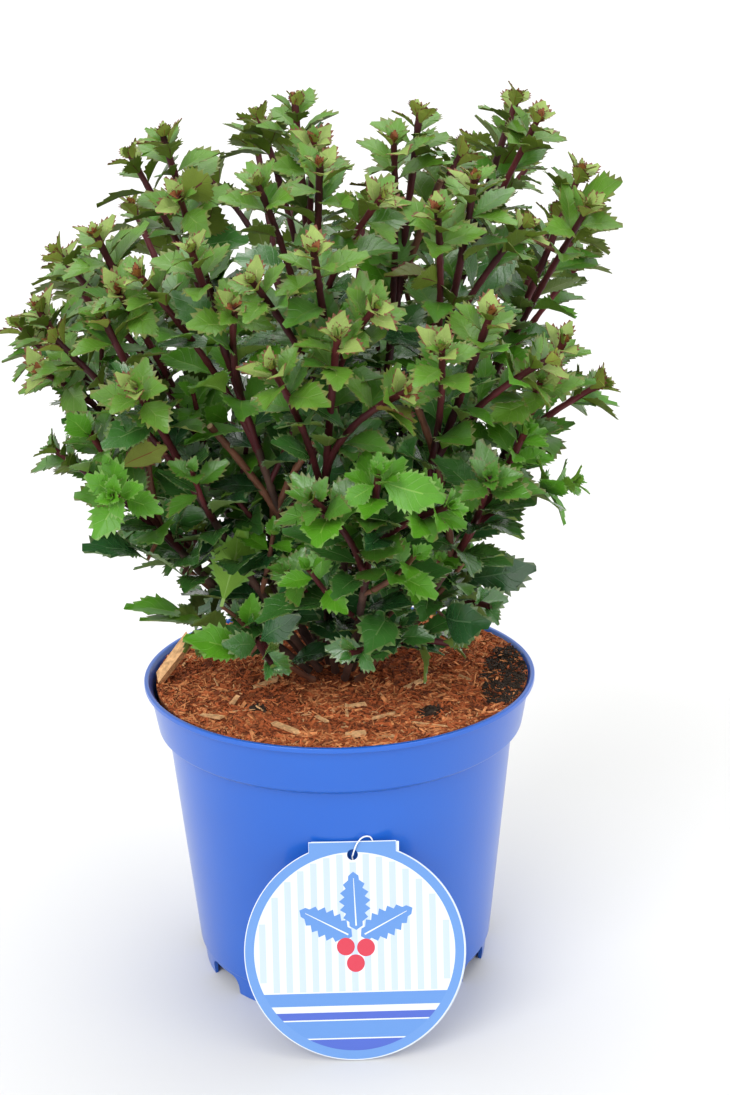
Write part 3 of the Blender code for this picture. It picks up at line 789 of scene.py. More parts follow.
def mixed(tree, factor, first, second):
    """Two colours, each a socket or a triple, mixed by a factor."""
    node = tree.nodes.new("ShaderNodeMix")
    node.data_type = "RGBA"
    for name, value in (("A", first), ("B", second)):
        if isinstance(value, bpy.types.NodeSocket):
            tree.links.new(value, node.inputs[name])
        else:
            node.inputs[name].default_value = (*value, 1)
    tree.links.new(factor, node.inputs["Factor"])
    return node.outputs["Result"]


def add_veins(tree, shader, colour, rib, spine, strength, middle):
    """A blade's look: side veins that run forwards from the rib, a midrib, and spines in their own colour."""
    place = tree.nodes.new("ShaderNodeUVMap")
    place.uv_map = "blade"
    parts = tree.nodes.new("ShaderNodeSeparateXYZ")
    tree.links.new(place.outputs["UV"], parts.inputs["Vector"])
    lateral = maths(tree, "ABSOLUTE", maths(tree, "SUBTRACT", parts.outputs["Y"], 0.5))
    forward = maths(tree, "SUBTRACT", parts.outputs["X"], maths(tree, "MULTIPLY", lateral, VEIN_SLANT))
    wave = maths(tree, "PINGPONG", maths(tree, "MULTIPLY", forward, VEIN_COUNT), 0.5)
    line = ranged(tree, wave, 0.0, VEIN_BREADTH, 1.0, 0.0)
    ground = mixed(tree, maths(tree, "MULTIPLY", line, strength), colour, rib)
    if middle:
        ground = mixed(tree, ranged(tree, lateral, 0.02, 0.035, 1.0, 0.0), ground, middle)
    ground = mixed(tree, ranged(tree, lateral, MARGIN_MARK / 2 - 0.012, MARGIN_MARK / 2 + 0.004, 0.0, 1.0), ground, spine)
    shaded = tree.nodes.new("ShaderNodeVectorMath")
    shaded.operation = "SCALE"
    tree.links.new(ground, shaded.inputs[0])
    tree.links.new(ranged(tree, add_noise(tree, 130), 0.0, 1.0, 0.76, 1.26), shaded.inputs["Scale"])
    tree.links.new(shaded.outputs["Vector"], shader.inputs["Base Color"])
    height = maths(tree, "SUBTRACT", add_noise(tree, 1100), line)
    bump = tree.nodes.new("ShaderNodeBump")
    bump.inputs["Strength"].default_value = 0.4
    bump.inputs["Distance"].default_value = 0.0003
    tree.links.new(height, bump.inputs["Height"])
    tree.links.new(bump.outputs["Normal"], shader.inputs["Normal"])


class HOLLY_OT_leaves(bpy.types.Operator):
    """Grow the spiny leaves along every shoot, with a tuft of young ones at each tip"""

    bl_idname = "holly.leaves"
    bl_label = "Leaves"

    def execute(self, context):
        sizes = context.scene.holly_plant
        self.sizes = sizes
        self.chance = random.Random(sizes.seed)
        self.kinds = {name: [LeafKind(*row) for row in rows] for name, rows in LEAF_KINDS.items()}
        self.bunches = {tone: [] for tone in TONES}
        self.room = Room(ROOM_CELL)
        shoots = [shoot for mass in grow_skeleton() for shoot in mass] + finer_twigs()
        for shoot in shoots:
            steps = max(2, int(shoot.length() / (3 * MM)))
            self.room.add([tuple(shoot.at(index / steps)) for index in range(steps + 1)], STEM_CLEAR)
        for shoot in cut_shoots():
            points = [tuple(shoot.at(index / 24)) for index in range(25)]
            self.room.add(points, STEM_CLEAR)
            self.keep_open(points[8:])
        self.place_known()
        for shoot in shoots:
            self.tuft(shoot)
        for shoot in shoots:
            self.dress(shoot)
        crowns = [f"crown_{i + 1:02d}" for i in range(len(LEADERS))]
        lows = [f"low_spray_{i + 1}" for i in range(LOW_SHOOTS)]
        for tone, (blade, rib, under, middle, spine, rough, gloss) in TONES.items():
            top, tree, shader = new_material(f"leaf_{tone}", blade, rough, 0, gloss)
            add_veins(tree, shader, blade, rib, spine, 0.4, None)
            vein, _, _ = new_material(f"rib_{tone}", rib, 0.45)
            back, tree, shader = new_material(f"under_{tone}", under, 0.6, 0, 0.25)
            add_veins(tree, shader, under, rib, spine, 0.15, middle)
            rim, _, _ = new_material(f"stalk_{tone}", middle, 0.5)
            nodes = lows if tone == "old" else (crowns if tone == "mid" else ())
            leaves = self.bunches[tone]
            parts = max(1, math.ceil(len(leaves) / LEAVES_A_PIECE))
            for part in range(parts):
                name = f"leaves_{tone}_{part + 1}"
                joined_leaves(name, leaves[part::parts], (top, vein, back, rim), nodes if part == 0 else ())
        return {"FINISHED"}

    def keep_open(self, points):
        """Keep other leaves from hiding these points from the front."""
        steps = int(OPEN_REACH / ROOM_CELL)
        for point in points:
            start = Vector(point)
            ahead = (Vector(CAMERA_PLACE) - start).normalized() * ROOM_CELL
            self.room.add([tuple(start + ahead * step) for step in range(2, steps)], LEAF_CLEAR)

    def place_known(self):
        """The leaves whose places are known, before any others."""
        for index, (*ends, breadth, look, tone) in enumerate(PLACED_LEAVES):
            base, tip = Vector(ends[:3]) * MM, Vector(ends[3:]) * MM
            turn = math.radians(look)
            along = (tip - base).normalized()
            upper = Vector((0, -math.cos(turn), math.sin(turn) + 0.1))
            upper = (upper - along * upper.dot(along)).normalized()
            matrix = Matrix((along, upper.cross(along), upper)).transposed().to_4x4()
            matrix.translation = base
            length = (tip - base).length
            kind = self.kinds["grown"][index % 4]
            points = self.samples(matrix, length)
            self.room.add(points, LEAF_CLEAR)
            self.keep_open(points)
            scale = Matrix.Diagonal((length, breadth * MM / kind.broad, length, 1))
            self.bunches[tone].append((kind, matrix @ scale))

    def dress(self, shoot):
        """Leaves along one shoot by the golden turn: old ones spread, young ones raised."""
        chance, sizes = self.chance, self.sizes
        length = shoot.length()
        from_tip = TUFT_DEPTH
        turn = chance.uniform(0, math.tau)
        shade_here = chance.uniform(-0.22, 0.22)
        while from_tip < length * (1 - shoot.bare):
            share = 1 - from_tip / length
            place, tangent = shoot.at(share), shoot.tangent(share)
            youth = math.exp(-from_tip / (45 * MM)) * min(1, max(0.15, (place.z - 0.17) / 0.15))
            rise = math.radians(78 - 30 * youth + chance.uniform(-14, 14))
            size = sizes.leaf_length * chance.uniform(0.80, 1.14) * (1 - 0.36 * youth)
            turn += GOLDEN_TURN + chance.uniform(-0.25, 0.25)
            upright = chance.random() < UPRIGHT_SHARE
            if upright:
                rise = math.radians(chance.uniform(20, 48))
            level = chance.uniform(*LEAF_LEVEL)
            face = chance.uniform(0.3, 0.9) * (1 - 0.4 * youth)
            for extra in LEAF_TURNS:
                matrix = leaf_matrix(place, tangent, turn + math.radians(extra), rise)
                if not upright:
                    matrix = lit(matrix, max(0, level - matrix.col[0].z), face)
                if self.fits(matrix, size):
                    kind = chance.choice(self.kinds["grown" if youth < 0.45 else "upper"])
                    self.put(matrix, size, kind, self.tone_at(place, youth, shade_here))
                    break
            from_tip += sizes.leaf_pitch * (1 + LOOSER * (1 - youth))

    def tuft(self, shoot):
        """A shoot's tip: spreading young leaves, upright paler ones, and a reddish heart in some."""
        chance = self.chance
        length = shoot.length()
        tip = shoot.tangent(0.99)
        turn = chance.uniform(0, math.tau)
        bright = shoot.kind == "crown" and shoot.at(1).z > LIME_ABOVE
        mood = chance.random()
        rows = TUFT if shoot.kind == "crown" else TUFT[::2]
        for depth, size, rise, tone, spread in rows:
            turn += GOLDEN_TURN + chance.uniform(-0.3, 0.3)
            if tone == "red" and (not bright or mood > 0.5):
                tone = "lime"
            if tone == "lime" and (not bright or chance.random() < 0.22):
                tone = "fresh"
            if tone == "fresh" and not bright:
                tone = ("vivid" if mood < 0.6 else "mid") if shoot.at(1).z > VIVID_ABOVE else "deep"
            share = 1 - depth * MM / length
            scale = self.sizes.leaf_length * 0.90 * size * chance.uniform(0.88, 1.12)
            angle = math.radians(rise + chance.uniform(-spread, spread))
            matrix = leaf_matrix(shoot.at(share), tip, turn, angle)
            matrix = lit(matrix, 0.05, 0.12)
            self.room.add(self.samples(matrix, scale), LEAF_CLEAR)
            self.put(matrix, scale, chance.choice(self.kinds["young"]), tone)

    def tone_at(self, place, youth, spray):
        """Old leaves stay inside and low, fresh ones stand near the tips; each spray has its own shade."""
        reach = math.hypot(place.x, place.y) / 0.14
        shown = 0.62 * youth + 0.34 * reach + 0.75 * (place.z - 0.14) / 0.28 + spray + self.chance.uniform(-0.24, 0.24)
        tone = next((tone for tone, least in TONE_STEPS if shown > least), "old")
        if tone in ("fresh", "mid") and VIVID_ABOVE < place.z < VIVID_BELOW and spray > 0.05 and self.chance.random() < 0.7:
            return "vivid"
        if tone == "fresh" and self.chance.random() < BRONZE_SHARE:
            return "bronze"
        return tone

    def samples(self, matrix, size):
        array = np.array(matrix)
        return (LEAF_SAMPLES * size) @ array[:3, :3].T + array[:3, 3]

    def fits(self, matrix, size):
        """True where a blade stays over the pot, in the solids' box, and clear of what is there."""
        points = self.samples(matrix, size)
        low = points[:, 2].min()
        over = np.hypot(points[:, 0], points[:, 1]).max()
        if low < SOIL_LEVEL + LEAF_FLOOR or (over > 84 * MM and low < 0.158):
            return False
        lowest, highest = SOLID_BOX
        if (points < np.array(lowest) - BOX_SPARE).any() or (points > np.array(highest) + BOX_SPARE).any():
            return False
        if not self.room.clear_of(points, LEAF_CLEAR):
            return False
        self.room.add(points, LEAF_CLEAR)
        return True

    def put(self, matrix, size, kind, tone):
        scale = Matrix.Diagonal((size, size * self.chance.uniform(0.9, 1.1), size, 1))
        roll = Matrix.Rotation(self.chance.uniform(-0.25, 0.25), 4, "X")
        self.bunches[tone].append((kind, matrix @ roll @ scale))


class HOLLY_OT_stems(bpy.types.Operator):
    """Run the barked boughs and the young shoots from the foot to every tip"""

    bl_idname = "holly.stems"
    bl_label = "Stems"

    def execute(self, context):
        old, young, brown = [], [], []
        for shoots in grow_skeleton():
            leader = shoots[0]
            if leader.kind == "low":
                brown.append((leader, 0, 1, 1.5 * MM, 1.1 * MM))
            else:
                old.append((leader, 0, OLD_SHARE, 1.85 * MM, 1.7 * MM))
                young.append((leader, OLD_SHARE - 0.003, 1, 1.7 * MM, 1.5 * MM))
            for shoot in shoots[1:]:
                young.append((shoot, 0, 1, 1.5 * MM, 1.35 * MM))
        for index, shoot in enumerate(finer_twigs()):
            low = shoot.at(1).z < BROWN_BELOW and index % 2
            (brown if low else young).append((shoot, 0, 1, 1.25 * MM, 1.05 * MM))
        ends = []
        for shoot in cut_shoots():
            brown.append((shoot, 0, 1, 1.7 * MM, 1.5 * MM))
            ends.append((shoot, 0.98, 1.008, 1.32 * MM, 1.28 * MM))
        for shoot in spurs():
            brown.append((shoot, 0, 1, 1.0 * MM, 0.75 * MM))
        # Old bark on the boughs' lower parts: its own dark brown, made darker still as painted shade for the shadow
        # that the foliage above casts on them.
        bark, tree, shader = new_material("old_bark", (0.06, 0.04, 0.03), 0.7, 0, 0.3)
        mottle(tree, shader, (0.020, 0.011, 0.009), (0.110, 0.056, 0.041), 60)
        add_bump(tree, shader, 1500, 0.6, 0.0005)
        maroon, tree, shader = new_material("young_bark", (0.09, 0.016, 0.020), 0.5, 0, 0.25)
        mottle(tree, shader, (0.020, 0.004, 0.006), (0.112, 0.018, 0.022), 26)
        add_bump(tree, shader, 1400, 0.3, 0.0003)
        tawny, tree, shader = new_material("brown_bark", (0.13, 0.05, 0.03), 0.55, 0, 0.3)
        mottle(tree, shader, (0.045, 0.016, 0.012), (0.230, 0.095, 0.052), 40)
        add_bump(tree, shader, 1400, 0.4, 0.0003)
        boughs = [f"bough_{i + 1:02d}" for i in range(len(LEADERS))] + ["foot"]
        add_piece("stems_old", self.tubes("stems_old", old), (bark,), boughs)
        add_piece("stems_young", self.tubes("stems_young", young), (maroon,))
        add_piece("stems_brown", self.tubes("stems_brown", brown), (tawny,))
        wood, _, _ = new_material("cut_wood", (0.50, 0.36, 0.20), 0.8, 0, 0.2)
        add_piece("stems_cut", self.tubes("stems_cut", ends), (wood,))
        return {"FINISHED"}

    def tubes(self, name, limbs):
        """Tapering tubes with a slight swelling at every leaf joint, and ridged bark."""
        curve = bpy.data.curves.new(name, "CURVE")
        curve.dimensions = "3D"
        curve.use_fill_caps = True
        curve.bevel_depth = 1
        curve.bevel_resolution = 3
        for shoot, low, high, root, tip in limbs:
            steps = max(8, int(shoot.length() * (high - low) / (2.2 * MM)))
            spline = curve.splines.new("POLY")
            spline.points.add(steps)
            for index, point in enumerate(spline.points):
                share = index / steps
                place = shoot.at(low + (high - low) * share)
                point.co = (*place, 1)
                swell = 1 + 0.16 * max(0, math.cos(index * math.tau / 4.6)) ** 3
                point.radius = (root + (tip - root) * share) * swell
        made = bpy.data.objects.new(name, curve)
        bpy.context.scene.collection.objects.link(made)
        mesh = evaluated_mesh(made, name)
        shape = bmesh.new()
        shape.from_mesh(mesh)
        bmesh.ops.remove_doubles(shape, verts=shape.verts, dist=0.000005)
        bmesh.ops.recalc_face_normals(shape, faces=shape.faces)
        for vert in shape.verts:
            vert.co += vert.normal * noise.noise(vert.co * 450) * 0.22 * MM
        shape.to_mesh(mesh)
        shape.free()
        shade(mesh, 50)
        return mesh


def finer_twigs():
    """Short twigs off the boughs and the side shoots, which fill the crown within its reach."""
    chance = random.Random(FINE_SEED)
    segments = []
    masses = grow_skeleton()
    for mass in masses:
        for shoot in mass:
            segments.append(shoot.segments())
    taken = np.concatenate(segments)
    made = []
    for mass in masses:
        for order, shoot in enumerate(mass):
            if shoot.kind == "low":
                continue
            shares = FINE_SHARES if order == 0 else FINE_SIDE_SHARES
            for share in shares:
                share += chance.uniform(-0.03, 0.03)
                start, tangent = shoot.at(share), shoot.tangent(share)
                length = (FINE_LENGTH if order == 0 else FINE_SIDE_LENGTH) * chance.uniform(0.8, 1.2)
                for _ in range(6):
                    side = Quaternion(tangent, chance.uniform(0, math.tau)) @ tangent.orthogonal().normalized()
                    aim = (tangent * 0.75 + side * 0.65 + Vector((0, 0, 0.15))).normalized()
                    end = start + (aim + Vector((0, 0, 0.25))).normalized() * length
                    twig = Shoot((start, aim, end), 0, "fine")
                    clear = nearest(np.array(twig.points[2:]), taken).min() > FINE_CLEAR
                    low = min(point.z for point in twig.points) > SOIL_LEVEL + 26 * MM
                    if clear and low and math.hypot(end.x, end.y) < 0.128:
                        made.append(twig)
                        taken = np.concatenate([taken, twig.segments()])
                        break
    return made


def cut_shoots():
    """The shoots that were pruned, which leave their boughs and end short."""
    masses = grow_skeleton()
    made = []
    for mass, order, share, *end in CUT_SHOOTS:
        bearer = masses[mass][order]
        start, end = bearer.at(share), Vector(end) * MM
        aim = ((end - start).normalized() * 2 + bearer.tangent(share)).normalized()
        made.append(Shoot((start, aim, end), 0, "cut"))
    return made


def spurs():
    """Short side shoots that carry the placed leaves whose bases stand off the stems."""
    shoots = [shoot for mass in grow_skeleton() for shoot in mass] + finer_twigs() + cut_shoots()
    axis = [shoot.at(index / SPUR_PLACES) for shoot in shoots for index in range(SPUR_PLACES + 1)]
    made = []
    for *ends, _, _, _ in PLACED_LEAVES:
        base = Vector(ends[:3]) * MM
        start = min(axis, key=lambda point: (point - base).length)
        if (base - start).length > SPUR_FROM:
            made.append(Shoot((start, (base - start).normalized(), base), 0, "cut"))
    return made


def millimetres(points):
    """Profile rows given in mm, in metres: each is a radius, a height and a corner's rounding."""
    return [tuple(value * MM for value in row) for row in points]


def rounded(corners, steps=6):
    """A polyline whose corners are turned by the rounding that each one states."""
    points = [Vector(row[:2]) for row in corners]
    out = [points[0]]
    for before, corner, after, row in zip(points, points[1:], points[2:], corners[1:]):
        reach = row[2]
        if reach <= 0:
            out.append(corner)
            continue
        to_before, to_after = before - corner, after - corner
        first = corner + to_before.normalized() * min(reach, to_before.length * 0.48)
        last = corner + to_after.normalized() * min(reach, to_after.length * 0.48)
        for index in range(steps + 1):
            share = index / steps
            rest = 1 - share
            out.append(first * rest * rest + corner * 2 * rest * share + last * share * share)
    return out + [points[-1]]


def spun(name, profile, steps):
    """A turned solid's mesh from the points of its profile, which starts and ends on the axis."""
    shape = bmesh.new()
    verts = [shape.verts.new((x, 0, z)) for x, z in profile]
    edges = [shape.edges.new(pair) for pair in zip(verts, verts[1:])]
    bmesh.ops.spin(
        shape, geom=verts + edges, cent=(0, 0, 0), axis=(0, 0, 1), angle=math.tau, steps=steps, use_merge=True
    )
    bmesh.ops.remove_doubles(shape, verts=shape.verts, dist=0.000001)
    bmesh.ops.recalc_face_normals(shape, faces=shape.faces)
    mesh = bpy.data.meshes.new(name)
    shape.to_mesh(mesh)
    shape.free()
    return mesh


class HOLLY_OT_pot(bpy.types.Operator):
    """Turn the thin plastic pot with its lip, collar and nine feet"""

    bl_idname = "holly.pot"
    bl_label = "Pot"

    def execute(self, context):
        mesh = spun("pot", rounded(millimetres(POT_PROFILE)), POT_STEPS)
        made = bpy.data.objects.new("pot_turned", mesh)
        cutter = bpy.data.objects.new("pot_notches", self.notches())
        place_objects((made, cutter))
        cut = made.modifiers.new("notches", "BOOLEAN")
        cut.object = cutter
        cut.operation = "DIFFERENCE"
        cut.solver = "EXACT"
        mesh = evaluated_mesh(made, "pot_shell")
        bpy.data.objects.remove(cutter, do_unlink=True)
        shade(mesh, 32)
        plastic, tree, shader = new_material("pot_plastic", (0.020, 0.125, 0.60), 0.30, 0.25)
        mottle(tree, shader, (0.007, 0.102, 0.51), (0.010, 0.116, 0.55), 11)
        add_bump(tree, shader, 900, 0.10, 0.0002)
        add_piece("pot_shell", mesh, (plastic,), ("pot",))
        return {"FINISHED"}

    def notches(self):
        """Arched bars that cut the openings between the feet."""
        shape = bmesh.new()
        for index in range(NOTCHES):
            azimuth = math.radians(NOTCH_AZIMUTH + index * 360 / NOTCHES)
            bar = bmesh.ops.create_cube(shape, size=1)["verts"]
            bmesh.ops.scale(shape, vec=(NOTCH_DEPTH, NOTCH_WIDTH, 2 * NOTCH_TOP), verts=bar)
            edges = {edge for vert in bar for edge in vert.link_edges}
            upper = [
                edge
                for edge in edges
                if all(vert.co.z > 0 for vert in edge.verts)
                and abs(edge.verts[0].co.x - edge.verts[1].co.x) > NOTCH_DEPTH / 2
            ]
            arched = bmesh.ops.bevel(
                shape, geom=upper, offset=NOTCH_ROUND, segments=8, profile=0.5, affect="EDGES", material=-1
            )
            bar = {vert for face in arched["faces"] for vert in face.verts} | {vert for vert in bar if vert.is_valid}
            place = Matrix.Rotation(azimuth, 4, "Z") @ Matrix.Translation((NOTCH_REACH, 0, 0))
            bmesh.ops.transform(shape, matrix=place, verts=list(bar))
        mesh = bpy.data.meshes.new("pot_notches")
        shape.to_mesh(mesh)
        shape.free()
        return mesh


def soil_height(x, y):
    """The potting mix's surface: heaped a little in the middle, lumpy, never over the lip."""
    place = Vector((x, y, 0))
    lumps = noise.noise(place * 32) * 2.2 + noise.noise(place * 95) * 1.8 + noise.noise(place * 260) * 1.0
    heap = 2.4 * math.exp(-place.length_squared / (2 * (34 * MM) ** 2))
    inside = min(1, max(0, (SOIL_RADIUS - place.length) / (12 * MM)))
    lumps *= min(1, inside + 0.3)
    return SOIL_LEVEL + (lumps + heap + 3.4 - 1.4 * inside) * MM


def splinter(block, length, width, thick, chance):
    """A chip of wood: a thin bar with ragged ends, from a block's corners."""
    ends = []
    for x, y, z in block:
        skew = chance.uniform(0, 0.35) * x * length
        narrow = chance.uniform(0.45, 1)
        ends.append((x * length - skew, y * width * narrow, z * thick))
    return ends


def brim(x, y):
    """The mix's edge at a place: against the pot's wall, but a little off it on the left."""
    gap = math.exp(-(((180 - abs(math.degrees(math.atan2(y, x)))) / 34) ** 2))
    return SOIL_RADIUS + (1.7 - 2.6 * gap) * MM


class HOLLY_OT_substrate(bpy.types.Operator):
    """Fill the pot with coir and wood fibre, with loose chips and splinters on top"""

    bl_idname = "holly.substrate"
    bl_label = "Potting mix"

    def execute(self, context):
        chance = random.Random(context.scene.holly_plant.seed + 1)
        rings = [(SOIL_RADIUS * index / SOIL_RINGS, SOIL_LEVEL) for index in range(SOIL_RINGS + 1)]
        lower = [(row[0] * MM, row[1] * MM) for row in SOIL_UNDER]
        mesh = spun("substrate", rings + lower, 144)
        for vert in mesh.vertices:
            if vert.co.z > SOIL_LEVEL - 0.5 * MM:
                vert.co *= brim(vert.co.x, vert.co.y) / SOIL_RADIUS
                vert.co.z = soil_height(vert.co.x, vert.co.y)
        shade(mesh, 60)
        fibre, tree, shader = new_material("coir", (0.36, 0.11, 0.04), 0.95, 0, 0.2)
        mottle(tree, shader, (0.13, 0.032, 0.014), (0.40, 0.13, 0.05), 260)
        add_bump(tree, shader, 800, 1.0, 0.0012)
        add_piece("potting_mix", mesh, (fibre,), ("substrate",))
        for tone, (colour, count, longest) in CHIP_TONES.items():
            self.chips(tone, colour, count, longest, chance)
        return {"FINISHED"}

    def chips(self, tone, colour, count, longest, chance):
        shape = bmesh.new()
        bmesh.ops.create_cube(shape, size=1)
        block = [tuple(vert.co) for vert in shape.verts]
        sides = [[vert.index for vert in face.verts] for face in shape.faces]
        shape.free()
        points = []
        for _ in range(count):
            black = tone == "black"
            if black:
                angle, reach = self.black_place(chance)
            else:
                angle = chance.uniform(0, math.tau)
                reach = (SOIL_RADIUS + 1 * MM) * math.sqrt(chance.random())
                if self.in_patch(angle, reach) and chance.random() < 0.25:
                    continue
            x, y = reach * math.cos(angle), reach * math.sin(angle)
            clump = noise.noise(Vector((x, y, 0)) * 55)
            if (tone == "dark" and clump > 0.12) or (tone == "tan" and clump < -0.12):
                continue
            length = longest * MM * chance.uniform(0.1, 1) ** 3 + 1.2 * MM
            width = min(length, chance.uniform(0.4, 1) * ((1.4 if black else 0.8) * MM + 0.16 * length))
            if not black and chance.random() < THIN_SHARE:
                width = chance.uniform(0.3, 0.6) * MM
            thick = chance.uniform(0.2, 0.7) * MM
            angles = Euler((chance.gauss(0, 0.45), chance.gauss(0, 0.28), chance.uniform(0, math.tau)))
            lift = chance.uniform(0.2, 1.0) * MM if black else 0.2 * MM
            self.lay(splinter(block, length, width, thick, chance), x, y, angles, lift, points)
        for azimuth, reach, turn, rise, length, width, thick in LARGE_CHIPS.get(tone, ()):
            x = reach * MM * math.cos(math.radians(azimuth))
            y = reach * MM * math.sin(math.radians(azimuth))
            rows = splinter(block, length * MM, width * MM, thick * MM, chance)
            lift = thick * MM * 0.3 + math.sin(math.radians(rise)) * length * MM / 2
            angles = Euler((0.06, -math.radians(rise), math.radians(turn)))
            self.lay(rows, x, y, angles, lift, points)
        faces = [[first + i for i in side] for first in range(0, len(points), len(block)) for side in sides]
        mesh = bpy.data.meshes.new(f"chips_{tone}")
        mesh.from_pydata(points, [], faces)
        material, tree, shader = new_material(f"chips_{tone}", colour, 0.85, 0, 0.25)
        dark = tuple(value * 0.62 for value in colour)
        light = tuple(min(1, value * 1.3) for value in colour)
        mottle(tree, shader, dark, light, 420)
        add_bump(tree, shader, 1800, 0.5, 0.0003)
        add_piece(f"chips_{tone}", mesh, (material,))

    def patch_edge(self, azimuth):
        """How near to the middle the dark patch reaches at an azimuth in degrees."""
        middle, half = sum(BLACK_SPREAD) / 2, (BLACK_SPREAD[1] - BLACK_SPREAD[0]) / 2
        return (BLACK_INNER + 10 * ((azimuth - middle) / half) ** 2) * MM

    def in_patch(self, angle, reach):
        azimuth = (math.degrees(angle) + 180) % 360 - 180
        return BLACK_SPREAD[0] < azimuth < BLACK_SPREAD[1] and reach > self.patch_edge(azimuth)

    def black_place(self, chance):
        """Dark soil lies in a patch by the right of the rim, and in a few crumbs elsewhere."""
        if chance.random() < 0.88:
            azimuth = chance.uniform(*BLACK_SPREAD)
            inner = self.patch_edge(azimuth)
            return math.radians(azimuth), inner + (SOIL_RADIUS + 1 * MM - inner) * chance.random() ** 0.8
        azimuth, reach = chance.choice(BLACK_CRUMBS)
        return math.radians(azimuth + chance.gauss(0, 1.6)), (reach + chance.gauss(0, 1.6)) * MM

    def lay(self, rows, x, y, angles, lift, points):
        """Turn a chip, tip it and lay it on the surface."""
        tip = angles.to_matrix()
        height = soil_height(x, y) + lift
        for row in rows:
            place = tip @ Vector(row) + Vector((x, y, height))
            over = math.hypot(place.x, place.y) / brim(place.x, place.y)
            if over > 1:
                place.x /= over
                place.y /= over
            points.append(tuple(place))


def tag_place():
    """The card's frame: X across it, Y up it, Z out of its front; it leans on the pot."""
    place = Matrix.Translation((TAG_SHIFT, -TAG_FOOT, GAP + TAG_LIFT))
    return place @ Matrix.Rotation(math.radians(90) - TAG_LEAN, 4, "X")


def circle_points(centre, radius, steps, start=0.0, sweep=math.tau):
    """Points on an arc, or on a whole circle without its last point."""
    whole = abs(sweep - math.tau) < 0.001
    count = steps if whole else steps + 1
    points = []
    for index in range(count):
        angle = start + sweep * index / steps
        points.append((centre[0] + radius * math.cos(angle), centre[1] + radius * math.sin(angle)))
    return points


def segment(low, high, radius, steps=24):
    """The part of the card's inner disc between two heights, in mm from its middle."""
    low_angle = math.asin(max(-1, low / radius))
    high_angle = math.asin(min(1, high / radius))
    sweep = high_angle - low_angle
    right = circle_points((0, 0), radius, steps, low_angle, sweep)
    left = [(-x, y) for x, y in reversed(right)]
    return right + left


def field_outline():
    """The white field's edge, carried round the hole that crosses it."""
    cross = (TAG_FIELD ** 2 - TAG_HOLE_RADIUS ** 2 + TAG_HOLE_UP ** 2) / (2 * TAG_HOLE_UP)
    aside = math.sqrt(TAG_FIELD ** 2 - cross ** 2)
    big = math.atan2(cross, aside)
    small = math.atan2(cross - TAG_HOLE_UP, aside)
    around = circle_points((0, 0), TAG_FIELD, 120, math.pi - big, math.tau - (math.pi - 2 * big))
    over = circle_points((0, TAG_HOLE_UP), TAG_HOLE_RADIUS, 16, small, math.pi - 2 * small)
    return around + over[1:-1]


def holly_outline(length, width, teeth):
    """A printed holly leaf's outline along +X, with spiny teeth, in mm."""
    edge = []
    steps = teeth * 2
    for index in range(1, steps):
        along = index / steps
        half = width / 2 * math.sin(math.pi * along ** 0.9) ** 0.7
        spike = 1.12 if index % 2 else 0.74
        edge.append((along * length, half * spike))
    return [(0, 0)] + edge + [(length, 0)] + [(x, -y) for x, y in reversed(edge)]


def turned_points(points, angle, move):
    """2-D points turned by an angle in degrees, then moved."""
    turn = math.radians(angle)
    cosine, sine = math.cos(turn), math.sin(turn)
    return [(x * cosine - y * sine + move[0], x * sine + y * cosine + move[1]) for x, y in points]


